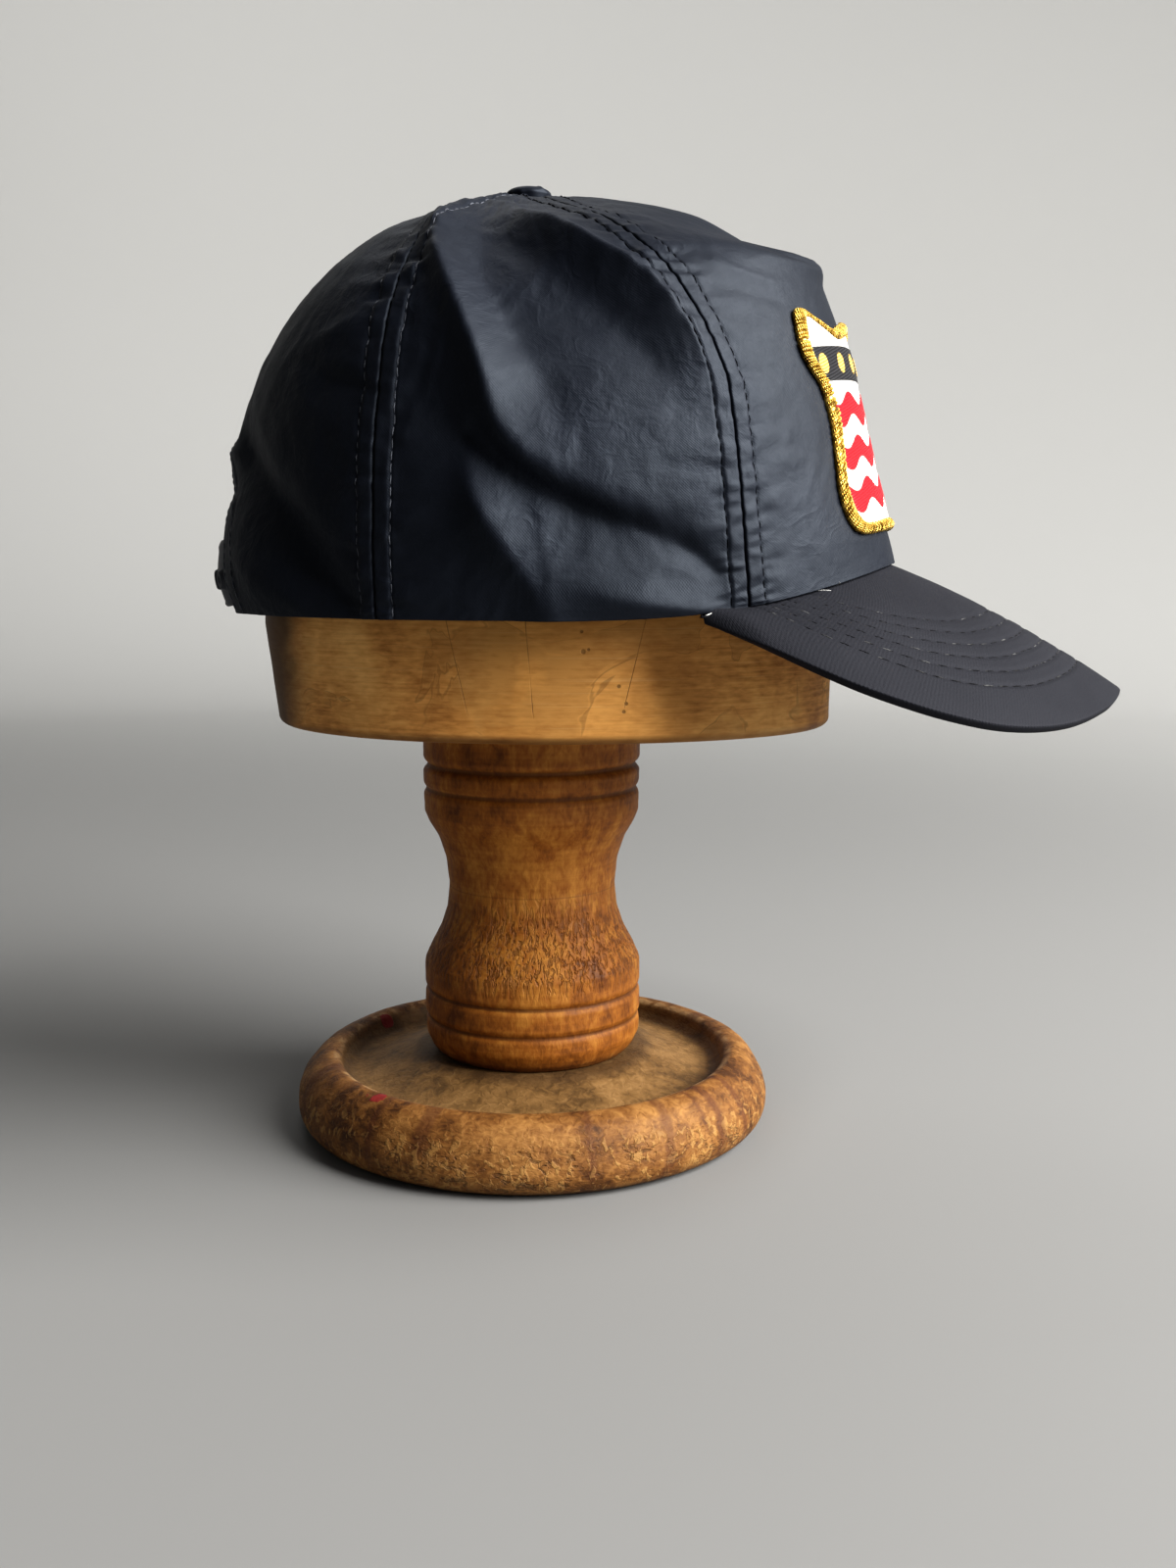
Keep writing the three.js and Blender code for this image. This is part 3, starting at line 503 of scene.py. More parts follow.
def stitches(path, normal, pitch, length, radius, lift):
    """Row of stitches along a line of points: each is a thread carried along its own stretch of the line,
    bowed up in the middle by a parabola and thinner towards its ends, which dive into the cloth."""
    run = np.concatenate([[0], np.cumsum(np.linalg.norm(np.diff(path, axis=0), axis=1))])
    t = np.linspace(-1, 1, STITCH_RINGS)
    place = (np.arange(int(run[-1] // pitch)) + 0.5)[:, None] * pitch + 0.5 * length * t
    centre, up = (np.stack([np.interp(place, run, values[:, k]) for k in range(3)], axis=-1)
                  for values in (path, normal))
    ahead, up = unit(np.gradient(centre, axis=1)), unit(up)
    bow = 1 - t ** 2
    centre = centre + up * (lift * bow - 0.5 * radius * (1 - bow))[:, None]
    thick = (radius * (0.5 + 0.5 * bow))[:, None, None]
    points, faces = tubes(centre, np.cross(ahead, up), up, thick)
    return points, faces, np.zeros((len(points), 2))


def seam_stitches(seam, side):
    """Two rows of stitches beside a seam, from the hem to the button."""
    s = np.linspace(STITCH_FROM, STITCH_TO, 260)
    centre = seam_angle(seam, s)
    offset = STITCH_OFFSET / crown_frame(centre, s)[2]
    return [stitches(*crown_cloth(side * (centre + beside), s), **STITCH) for beside in (-offset, offset)]


def centre_stitches():
    """Two rows beside the centre back seam, from the arch to the button."""
    s = np.linspace(ARCH_SECTION + 0.55, 9.5, 200)
    offset = STITCH_OFFSET / crown_frame(np.full(s.shape, np.pi), s)[2]
    return [stitches(*crown_cloth(side * (np.pi - offset), s), **STITCH) for side in (1, -1)]


def arch_stitches():
    """Two rows along the hem of the arch, from one foot over the top to the other."""
    turn = np.linspace(-0.5 * np.pi, 0.5 * np.pi, 240)
    rows = []
    for inset in HEM_ROWS:
        reach = ARCH_HALF_ANGLE * RAD + inset / along(SIDE_R, 1.0)
        angle = np.pi - reach * np.cos(turn)
        s = np.maximum((ARCH_SECTION + inset / SECTION_STEP) * np.sin(np.abs(turn)), 0.1)
        rows.append(stitches(*crown_cloth(np.where(turn < 0, angle, -angle), s), **STITCH))
    return rows


# Brim

BRIM_EDGE = np.array([   # outer edge from the tip to the end: side, ahead, height
    (0.0, 168.8, 134.5), (15.0, 166.9, 133.9), (31.0, 161.4, 131.6), (48.0, 150.6, 129.1),
    (62.0, 135.6, 129.3), (72.0, 118.5, 133.0), (77.0, 97.5, 139.9), (75.0, 76.0, 148.4), (69.0, 58.5, 154.2),
])
BRIM_THICK, BRIM_END_ANGLE, BRIM_TUCK, BRIM_LIFT, BRIM_RISE = 2.6, 50, 2.0, 0.5, 2.4
BRIM_ROWS, BRIM_COLS, BRIM_CORNER, BRIM_SPAN = 112, 220, 0.7, 150
BRIM_STITCH_ROWS = 13.5 + 5.5 * np.arange(6)     # distances of the rows of stitches from the outer edge
BRIM_STITCH = dict(pitch=5.0, length=4.4, radius=0.2, lift=0.10)
BRIM_PRESS, BRIM_PRESS_WIDE, BRIM_WAVE, BRIM_SEED = 0.40, 0.6, 0.10, 61


def brim_lines(u):
    """Ends of the straight lines that span the brim: on the seam under the rim, and on the outer edge."""
    half = BRIM_EDGE * (1, -1, 1)
    edge = along(np.concatenate([half[::-1], half[1:] * (-1, 1, 1)]), u * 2 * (len(half) - 1))
    angle, rim = (2 * u - 1) * BRIM_END_ANGLE * RAD, np.zeros(u.shape)
    point, normal, _ = crown_frame(angle, rim)
    seam = point + normal * (fold_rise(angle, rim) - BRIM_TUCK)[..., None]
    return seam + (0, 0, BRIM_LIFT), edge


def brim_top(u, v):
    """Brim's upper face: a straight line from the seam to the outer edge, raised a little by a parabola."""
    seam, edge = brim_lines(u)
    return seam + (edge - seam) * v[..., None] + (BRIM_RISE * 4 * v * (1 - v))[..., None] * (0, 0, 1)


def brim_edge_share(u):
    """Share of a spanning line that one millimetre square to the outer edge takes up."""
    seam, edge = brim_lines(u)
    step = 1e-3
    tangent = unit(brim_lines(np.minimum(u + step, 1))[1] - brim_lines(np.maximum(u - step, 0))[1])
    line = edge - seam
    square = line - tangent * np.sum(line * tangent, axis=-1, keepdims=True)
    return 1 / np.linalg.norm(square, axis=-1)


def brim_normal(u, v):
    """Upward normal of the brim's upper face from small steps along and across it."""
    step, end = 2e-3, 0.012
    u, v = np.clip(u, end, 1 - end), np.clip(v, step, 1 - step)
    out = brim_top(u, v + step) - brim_top(u, v - step)
    over = brim_top(u + step, v) - brim_top(u - step, v)
    normal = unit(np.cross(out, over))
    return normal * np.sign(normal[..., 2:])


def brim_cloth(u, v):
    """Brim's upper face pressed in along the rows of stitches and a little wavy, its normal, and the
    distance of each point from the outer edge."""
    distance = (1 - v) / brim_edge_share(u)
    press = sum(bell(distance - row, BRIM_PRESS_WIDE) for row in BRIM_STITCH_ROWS)
    wave = ripple(u * 26, distance / 9, BRIM_SEED)
    normal = brim_normal(u, v)
    return brim_top(u, v) + normal * (BRIM_WAVE * wave - BRIM_PRESS * press)[..., None], normal, distance


def brim_panel():
    """Closed brim: the upper face and the face below it, which close in a square edge with round corners."""
    u, v = np.meshgrid(np.linspace(0, 1, BRIM_COLS + 1), 1 - dense_start(BRIM_ROWS), indexing="xy")
    top, normal, distance = brim_cloth(u, v)
    d = np.clip(distance / BRIM_CORNER, 0, 1)
    half = 0.5 * BRIM_THICK * np.maximum((1 - (1 - d) ** 4) ** 0.25, 0.5)
    uv = np.stack([(2 * u - 1) * BRIM_SPAN, distance], axis=-1)
    return slab(top - normal * 0.5 * BRIM_THICK, normal, half, uv)


def brim_stitches():
    """Rows of stitches at even distances from the outer edge, on both faces where the brim is wide."""
    rows = []
    for distance in BRIM_STITCH_ROWS:
        u = np.linspace(0.005, 0.995, 500)
        v = 1 - distance * brim_edge_share(u)
        wide = v > 0.03
        top, normal, _ = brim_cloth(u[wide], v[wide])
        rows.append(stitches(top, normal, **BRIM_STITCH))
        rows.append(stitches(top - normal * BRIM_THICK, -normal, **BRIM_STITCH))
    return rows


# Loose ends of thread where the brim is sewn to the rim: angle, way out, way along the rim, and drop
LOOSE_ENDS = [(48.5, 1.2, 2.4, 0.6), (44.8, 1.6, -1.4, 0.9), (43.6, 1.0, 2.0, 1.4), (29.5, 2.2, -2.6, 0.2),
              (25.5, 2.6, 2.0, -0.4), (-31.0, 1.8, 2.2, 0.4), (-44.0, 1.5, -2.0, 0.9)]
LOOSE_SECTION, LOOSE_RADIUS, LOOSE_LIFT = 0.03, 0.17, 0.3


def loose_ends():
    """Short ends of white thread: each a single stitch along its own straight way out of the seam."""
    ends = []
    for angle, out, along_rim, drop in LOOSE_ENDS:
        points, normals = crown_cloth(np.full(2, angle * RAD), np.full(2, LOOSE_SECTION))
        normal = normals[0]
        way = normal * out + unit(np.cross(normal, (0, 0, 1))) * along_rim - np.array((0, 0, drop))
        path = points[0] + normal * LOOSE_LIFT + np.linspace(0, 1, 8)[:, None] * way
        length = np.linalg.norm(way)
        up = np.broadcast_to(normal, path.shape)
        ends.append(stitches(path, up, 0.99 * length, 0.98 * length, LOOSE_RADIUS, LOOSE_LIFT))
    return ends


# Button

BUTTON_RADIUS, BUTTON_HEIGHT, BUTTON_EDGE, BUTTON_BASE = 6.6, 3.9, 1.6, 271.6
BUTTON_FOOT, BUTTON_TOP = 0.25, 0.97    # its way runs from below nought, at the foot, to nearly one


def button():
    """Cloth-covered button: a low dome over a short edge, radius and height on the powers of a cosine and a
    sine, with gathers round the edge and one fold drawn across the top."""
    angle = round_steps(96)
    t = np.linspace(-BUTTON_FOOT, BUTTON_TOP, 30)[:, None]
    arc, below = 0.5 * np.pi * np.clip(t, 0, 1), np.minimum(t, 0)
    rise = BUTTON_EDGE * (1 + below / BUTTON_FOOT) + (BUTTON_HEIGHT - BUTTON_EDGE) * np.sin(arc)
    radius = BUTTON_RADIUS * (1 + 0.3 * below) * np.cos(arc) ** 0.7
    gather = 0.02 * np.sin(13 * angle + 2 * np.sin(3 * angle)) * bell(t, BUTTON_FOOT)
    x, y = radius * np.sin(angle), radius * np.cos(angle)
    fold = 0.30 * bell(0.8 * y - 0.6 * x - 1.6, 0.7) * smoothstep(0, 0.3, t)
    return turned(radius * (1 + gather), BUTTON_BASE + rise + fold, angle)


# Patch

PATCH_OUTLINE = np.array([   # half-width and height from the middle of the patch
    (0.0, 26.5), (10.0, 24.4), (21.0, 22.6), (30.0, 25.8), (36.0, 28.8), (38.8, 25.0), (40.2, 18.0),
    (38.4, 13.4), (35.2, 8.6), (34.4, 0.0), (36.2, -10.0), (37.8, -19.0), (35.8, -26.0), (30.0, -29.4),
    (16.0, -30.3), (0.0, -30.6),
])
PATCH_SECTION, PATCH_STEP = 2.8, 18      # section at its middle, and millimetres for each section
PATCH_THICK, PATCH_EDGE, SEAT_GAP = 1.1, 0.2, 0.3
BORDER_WIDE, BORDER_THICK, OUTLINE_STEPS = 3.6, 1.7, 260
BORDER_THREADS, BORDER_RINGS, THREAD_RADIUS, THREAD_SLANT, THREAD_SEED = 200, 9, 0.5, 0.008, 7
CORE_SINK, THREAD_RISE = -0.12, 0.10     # of the border's thickness
BAR_HEIGHTS, BAR_HALF, BAR_WAVE, BAR_SWELL = (-19.5, -8.5, 2.5), 2.9, 17.0, 1.6
SASH_LOW, SASH_HIGH, DISC_STEP, DISC_RADIUS = 9.5, 18.0, 11.0, 2.4
SEWN_RISE, DISC_RISE, SEWN_EDGE = 0.35, 0.3, 0.3


def on_front(across, up, out):
    """Place on the front panel at distances across and up from the patch's middle."""
    s = PATCH_SECTION + up / PATCH_STEP
    angle = across / along(FRONT_R, s)
    point, normal, _ = crown_frame(angle, s)
    return point + normal * (fold_rise(angle, s) + SEAT_GAP + out)[..., None]


def patch_edge(q, inset):
    """Point of the shield's outline at a share of its way round, moved in towards the middle."""
    whole = np.concatenate([PATCH_OUTLINE, PATCH_OUTLINE[-2::-1] * (-1, 1)])
    edge = along(whole, q * (len(whole) - 1))
    return edge * (1 - inset / np.linalg.norm(edge, axis=-1))[..., None]


def sewn_inside(off, edge):
    """One where an offset is less than an edge, nought past it, and a smooth S across the edge."""
    return 1 - smoothstep(edge - SEWN_EDGE, edge + SEWN_EDGE, off)


def motif_height(x, y):
    """Raised embroidery: wavy bars, a sash across the top and a row of discs on it, each a soft step."""
    swell = BAR_SWELL * np.sin(TURN * x / BAR_WAVE)
    bars = sum(sewn_inside(np.abs(y - row - swell), BAR_HALF) for row in BAR_HEIGHTS)
    sash = (1 - sewn_inside(y, SASH_LOW)) * sewn_inside(y, SASH_HIGH)
    off_disc = np.hypot(x - DISC_STEP * np.round(x / DISC_STEP), y - 0.5 * (SASH_LOW + SASH_HIGH))
    return SEWN_RISE * (bars + sash) + DISC_RISE * sewn_inside(off_disc, DISC_RADIUS)


def patch_field():
    """White field: rings that shrink from the border to the middle, raised by the cloth and its embroidery;
    the underside follows the panel."""
    q = np.linspace(0, 1, OUTLINE_STEPS, endpoint=False)
    scale = np.linspace(1, 0.02, 46)[:, None, None]
    place = patch_edge(q, 0.75 * BORDER_WIDE)[None] * scale
    x, y = place[..., 0], place[..., 1]
    rim = smoothstep(0, 0.03, 1 - scale[..., 0])
    top = on_front(x, y, PATCH_EDGE + (PATCH_THICK - PATCH_EDGE) * rim + rim * motif_height(x, y))
    bottom = on_front(x, y, np.zeros(x.shape))
    rows, cols = x.shape
    faces = grid_faces(rows, cols, wrap=True)
    size = rows * cols
    first = np.arange(cols)
    second = (first + 1) % cols
    side = np.stack([second, first, first + size, second + size], axis=-1)
    middle = np.arange(size - cols, size)[None]
    points = np.concatenate([top.reshape(-1, 3), bottom.reshape(-1, 3)])
    all_faces = [faces, faces[:, ::-1] + size, side, middle, middle[:, ::-1] + size]
    return points, all_faces, np.concatenate([place.reshape(-1, 2)] * 2)


def bead_point(q, around, lift):
    """Point on the border's round section: from its inner foot over the top to its outer foot as around goes
    from 0 to pi."""
    edge = patch_edge(q, 0.5 * BORDER_WIDE * (1 + np.cos(around)))
    return on_front(edge[..., 0], edge[..., 1], BORDER_THICK * (np.sin(around) + lift))


def border_core():
    """Round cord under the border's threads, carried round the outline."""
    steps = np.linspace(0, 1, OUTLINE_STEPS, endpoint=False)
    q, around = np.meshgrid(steps, np.linspace(0, np.pi, BORDER_RINGS), indexing="ij")
    index = np.arange(q.size).reshape(q.shape)
    ring = np.concatenate([index, index[:, :1]], axis=1)
    after = np.roll(ring, -1, axis=0)
    quads = np.stack([ring[:, :-1], ring[:, 1:], after[:, 1:], after[:, :-1]], axis=-1)
    points = bead_point(q, around, CORE_SINK).reshape(-1, 3)
    return points, [quads.reshape(-1, 4)], np.zeros((q.size, 2))


def border_threads():
    """Gold threads laid side by side over the cord: each a tube along a slanting arc of its round section."""
    t = np.linspace(0, 1, BORDER_RINGS)
    number = np.arange(BORDER_THREADS)[:, None]
    jitter = np.random.default_rng(THREAD_SEED).uniform(-0.25, 0.25, number.shape) / BORDER_THREADS
    q = (number / BORDER_THREADS + jitter + THREAD_SLANT * (t - 0.5)) % 1
    around = np.pi * (0.02 + 0.96 * t) + 0 * q
    centre = bead_point(q, around, THREAD_RISE)
    ahead = unit(np.gradient(centre, axis=1))
    beside = unit(bead_point((q + 0.002) % 1, around, THREAD_RISE) - centre)
    points, faces = tubes(centre, beside, np.cross(beside, ahead), THREAD_RADIUS)
    u, v = np.broadcast_arrays(8 * t[:, None], number[:, None] + np.zeros(THREAD_SIDES))
    return points, faces, np.stack([u, v], axis=-1).reshape(-1, 2)


# Snap strap

STRAP_THICK, STRAP_LOW, STRAP_HIGH, STRAP_HALF_ANGLE, STRAP_LIP = 1.5, 0.15, 1.5, 39, 0.7
STRAP_FREE_ANGLE, STRAP_TUCK, STRAP_BULGE = 24, 2.9, 1.0
BEAD_RISE, BEAD_INSET, BEAD_WIDE = 0.3, 1.4, 0.7
SNAP_STEP, SNAP_RADIUS, SNAP_RISE, SNAP_DISH, SNAP_COUNT = 9.5, 2.6, 1.1, 0.45, 7


def snap_strap():
    """Strap across the arch: its ends tuck inside the wings and its middle bulges out by a smooth step; a
    row of snaps stands on it as round caps with a rim, and both its long edges carry a bead."""
    turn = np.linspace(-STRAP_HALF_ANGLE, STRAP_HALF_ANGLE, 321)[None, :]
    rise = dense_ends(64, 0.4)[:, None]
    s = STRAP_LOW + (STRAP_HIGH - STRAP_LOW) * rise + 0 * turn
    angle = np.where(turn < 0, 180 + turn, turn - 180) * RAD + 0 * rise
    point, normal, _ = crown_frame(angle, s)
    free = smoothstep(0, STRAP_FREE_ANGLE / 2, STRAP_FREE_ANGLE - np.abs(turn))
    out = fold_rise(angle, s) - STRAP_TUCK + (STRAP_BULGE + STRAP_TUCK) * free
    middle = point + normal * (out - 0.5 * STRAP_THICK)[..., None]
    half_wide = 0.5 * (cloth_length(STRAP_HIGH) - cloth_length(STRAP_LOW))
    x, y = np.broadcast_arrays(turn * RAD * BACK_R[1], (2 * rise - 1) * half_wide)
    last_snap = SNAP_COUNT // 2
    from_snap = np.hypot(x - SNAP_STEP * np.clip(np.round(x / SNAP_STEP), -last_snap, last_snap), y)
    cap = 1 - smoothstep(SNAP_RADIUS - 0.5, SNAP_RADIUS + 0.2, from_snap)
    dish = 1 - smoothstep(0.6, 1.5, from_snap)
    inset = half_wide - np.abs(y)
    relief = SNAP_RISE * cap - SNAP_DISH * dish + BEAD_RISE * bell(inset - BEAD_INSET, BEAD_WIDE)
    half = 0.5 * STRAP_THICK * rounded(inset, STRAP_LIP, 0.1)
    outer = middle + normal * (half + relief * (inset > 0))[..., None]
    return wall(outer, middle - normal * half[..., None], np.stack([x, y], axis=-1))


# Stand

BLOCK = np.array([   # height, reach to the front and back, half-width
    (122.4, 85.6, 72.6, 63.0), (125.0, 88.6, 75.6, 66.0), (152.0, 88.6, 79.2, 67.0),
    (200.0, 87.0, 75.5, 66.0), (226.0, 77.0, 64.0, 58.0), (245.0, 61.0, 49.0, 45.0),
    (257.5, 41.0, 32.0, 29.0), (265.0, 22.0, 17.0, 15.5), (268.5, 5.0, 5.0, 5.0),
])
POST = np.array([   # height, radius
    (22.0, 29.0), (23.5, 30.8), (27.5, 32.6), (31.6, 32.7), (32.9, 31.8), (34.2, 32.9), (40.0, 32.9),
    (41.3, 31.8), (42.6, 32.9), (49.4, 32.8), (54.0, 30.8), (60.0, 27.8), (66.0, 25.9), (73.0, 25.1),
    (81.0, 26.0), (88.0, 28.3), (92.5, 31.0), (95.5, 32.3), (101.2, 32.5), (102.6, 31.4), (104.0, 32.5),
    (108.2, 32.6), (109.8, 30.9), (111.4, 32.6), (122.1, 32.6),
])
BASE = np.array([   # radius, height
    (66.0, 0.0), (70.2, 2.6), (72.0, 7.5), (70.6, 14.0), (66.8, 19.2), (62.5, 21.3), (59.3, 20.4),
    (57.6, 17.4), (54.5, 15.6), (46.0, 17.4), (34.0, 21.7),
])
BLOCK_DENT, POST_TOOL, POST_WEAR, BASE_DENT, BASE_NICK = 0.004, 0.05, 0.16, 0.35, 0.14
BLOCK_SEED, TOOL_SEED, WEAR_SEED, DENT_SEED, NICK_SEED = 71, 81, 82, 91, 92


def hat_block():
    """Block: half ovals in plan that meet at the sides, with sizes straight between the table's heights,
    shallow dents, and a bottom edge rounded by a quarter turn."""
    angle = round_steps(220)
    row = np.concatenate([np.linspace(0, 1, 12), np.linspace(1, 2.2, 34)[1:], np.linspace(2.2, 8, 26)[1:]])
    sizes = np.array([np.interp(row, np.arange(len(BLOCK)), column) for column in BLOCK.T])
    turn = 0.5 * np.pi * np.clip(row, 0, 1)
    low, high = BLOCK[:2, :, None]
    edge = high - (high - low) * np.array([np.cos(turn)] + [1 - np.sin(turn)] * 3)
    height, front, back, half = np.where(row <= 1, edge, sizes)[..., None]
    x, y = half * np.sin(angle), np.where(np.cos(angle) >= 0, front, back) * np.cos(angle)
    dent = 1 - BLOCK_DENT * np.maximum(round_ripple(angle, height / 17, 11, BLOCK_SEED), 0)
    return turned(np.hypot(x, y) * dent, height, np.arctan2(x, y))


def stand_post():
    """Post: radius straight between the table's turned sizes, softened over a millimetre, with faint flats
    and tool marks round it."""
    angle = round_steps(256)
    height = np.linspace(POST[0, 0], POST[-1, 0], 190)[:, None]
    near = np.linspace(-0.6, 0.6, 7)
    radius = np.interp(height + near, POST[:, 0], POST[:, 1]).mean(axis=1)[:, None]
    tool = POST_TOOL * round_ripple(angle, height / 1.7, 40, TOOL_SEED)
    wear = POST_WEAR * round_ripple(angle, height / 12, 9, WEAR_SEED)
    return turned(radius + tool + wear, height, angle)


def stand_base():
    """Base: a smooth curve through the half section, from the foot over the rim into the dish, with dents
    and nicks in the rim that fade in the dish and at the foot."""
    angle = round_steps(300)
    row = np.linspace(0, len(BASE) - 1, 130)[:, None]
    radius, height = np.moveaxis(along(BASE, row), -1, 0)
    dent = BASE_DENT * round_ripple(angle, row / 1.6, 17, DENT_SEED)
    nick = BASE_NICK * round_ripple(angle, row / 0.5, 60, NICK_SEED)
    worn = bell(row - 3.5, 2.2) * (dent + nick)
    return turned(radius + worn, np.maximum(height + 0.4 * worn * smoothstep(1, 3, row), 0), angle)


# Finishes

class Wire:
    """One output of a material's nodes. Arithmetic with wires and numbers adds Math nodes to its tree."""

    def __init__(self, tree, socket=None):
        self.tree, self.socket = tree, socket

    def node(self, kind, inputs=None, out=0, stops=(), **settings):
        """Add a node: its settings first, then the values or links of its sockets by name or number."""
        made = self.tree.nodes.new(kind)
        for name, value in settings.items():
            setattr(made, name, value)
        for spot, (place, tint) in enumerate(stops):
            if spot > 1:
                made.color_ramp.elements.new(place)
            made.color_ramp.elements[spot].position = place
            made.color_ramp.elements[spot].color = (*tint, 1)
        for name, value in (inputs or {}).items():
            if isinstance(value, Wire):
                self.tree.links.new(value.socket, made.inputs[name])
            else:
                made.inputs[name].default_value = value
        return Wire(self.tree, made.outputs[out] if len(made.outputs) else None)

    def math(self, operation, *values):
        """Math node on wires and numbers."""
        return self.node("ShaderNodeMath", dict(enumerate(values)), operation=operation)

    def __add__(self, other):
        return self.math("ADD", self, other)

    def __sub__(self, other):
        return self.math("SUBTRACT", self, other)

    def __rsub__(self, other):
        return self.math("SUBTRACT", other, self)

    def __mul__(self, other):
        return self.math("MULTIPLY", self, other)

    def __truediv__(self, other):
        return self.math("DIVIDE", self, other)

    def __abs__(self):
        return self.math("ABSOLUTE", self)

    __radd__, __rmul__ = __add__, __mul__

    def sine(self):
        return self.math("SINE", self)

    def root(self):
        return self.math("SQRT", self)

    def most(self, other):
        return self.math("MAXIMUM", self, other)

    def least(self, other):
        return self.math("MINIMUM", self, other)

    def step(self, low, high):
        """Smooth step of a value from nought at low to one at high, or the other way round."""
        return self.node("ShaderNodeMapRange", {"Value": self, "From Min": low, "From Max": high},
                         interpolation_type="SMOOTHSTEP")

    def noise(self, scale, detail=3.0, distortion=0.0, stretch=(1, 1, 1)):
        """Noise of a coordinate wire, about 0 to 1, on a scale for each axis."""
        spot = self.node("ShaderNodeMapping", {"Vector": self, "Scale": tuple(scale * k for k in stretch)})
        return self.node("ShaderNodeTexNoise", {"Vector": spot, "Scale": 1.0, "Detail": detail,
                                                "Distortion": distortion})

    def mix(self, low, high):
        """Colour between two colours, by this value."""
        return self.node("ShaderNodeMix", {0: self, 6: low, 7: high}, out=2, data_type="RGBA")

    def ramp(self, *stops):
        """Colour from a row of places and colours, by this value."""
        return self.node("ShaderNodeValToRGB", {"Fac": self}, stops=stops)

    def bump(self, distance, strength=1.0, **normal):
        """Normal from this value as a height, over another normal where one is given."""
        inputs = {"Height": self, "Distance": distance, "Strength": strength, **normal}
        return self.node("ShaderNodeBump", inputs)

    def parts(self):
        """The three numbers of a vector."""
        split = self.node("ShaderNodeSeparateXYZ", {"Vector": self})
        return [Wire(self.tree, socket) for socket in split.socket.node.outputs]


def highest(masks):
    """The greatest of several masks at each place."""
    return functools.reduce(Wire.most, masks)


def colour(red, green, blue):
    """Colour of a socket from its three linear parts."""
    return (red, green, blue, 1.0)


def finish(name, build):
    """Material with a Principled shader whose sockets are what the builder function returns for its wires."""
    material = bpy.data.materials.new(name)
    material.use_nodes = True
    material.node_tree.nodes.clear()
    start = Wire(material.node_tree)
    shader = start.node("ShaderNodeBsdfPrincipled", build(start))
    start.node("ShaderNodeOutputMaterial", {"Surface": shader})
    return material


def object_spot(start):
    """Object coordinates, in metres."""
    return start.node("ShaderNodeTexCoord", out=3)


def cloth_spot(start):
    """The piece's own cloth coordinates, in millimetres."""
    return start.node("ShaderNodeUVMap", uv_map="cloth")


def weave(spot, pitch):
    """Plain weave: the product of two waves, one for each way of the cloth."""
    across, up, _ = spot.parts()
    turns = TURN / pitch
    return (across * turns).sine() * (up * turns).sine()


def crown_nylon(start):
    """Navy nylon: a soft gloss, creases at two sizes, and a faint weave."""
    spot, place = cloth_spot(start), object_spot(start)
    tone = place.noise(28, 4)
    crease = 1 - abs(spot.noise(0.15, 3, 0.5) * 2 - 1)
    fine, grain = spot.noise(0.4, 4, 0.3), spot.noise(1.3, 3)
    height = crease * crease * tone.step(0.35, 0.65) * 0.55 + fine * 0.35 + grain * 0.14
    creased = height.bump(0.0011, 0.30)
    navy, worn_navy = colour(0.0026, 0.0034, 0.0072), colour(0.0046, 0.0058, 0.0112)
    return {
        "Base Color": tone.step(0.3, 0.75).mix(navy, worn_navy),
        "Roughness": 0.50 + 0.10 * fine + 0.10 * grain,
        "Normal": (weave(spot, 0.7) * 0.5).bump(0.0001, 0.3, Normal=creased),
        "Specular IOR Level": 0.33,
        "Specular Tint": colour(0.74, 0.85, 1.0),
    }


def brim_twill(start):
    """Charcoal brim cloth: matt, with a fine grain and pale dust on the high threads."""
    spot, place = cloth_spot(start), object_spot(start)
    tone, grain = place.noise(35, 4), place.noise(1500, 2)
    dust = (tone * 0.5 + grain * 0.5).step(0.3, 0.8)
    return {
        "Base Color": dust.mix(colour(0.0052, 0.0055, 0.0082), colour(0.0128, 0.0132, 0.0170)),
        "Roughness": 0.66 + 0.2 * grain,
        "Normal": (grain * 0.7 + weave(spot, 0.9) * 0.15).bump(0.0003, 0.5),
        "Specular IOR Level": 0.27,
        "Specular Tint": colour(0.86, 0.88, 1.0),
    }


def thread(low, high, bare=0.35, full=0.65, sheen=0.2):
    """Sewing thread between two colours, the second from a bare to a full share of a noise, with a twist."""
    def build(start):
        place = object_spot(start)
        tone = place.noise(260, 2)
        return {
            "Base Color": tone.step(bare, full).mix(colour(*low), colour(*high)),
            "Roughness": 0.55 + 0.2 * tone,
            "Normal": place.noise(2400, 1).bump(0.0002, 0.5),
            "Sheen Weight": sheen,
            "Specular IOR Level": sheen,
        }
    return build


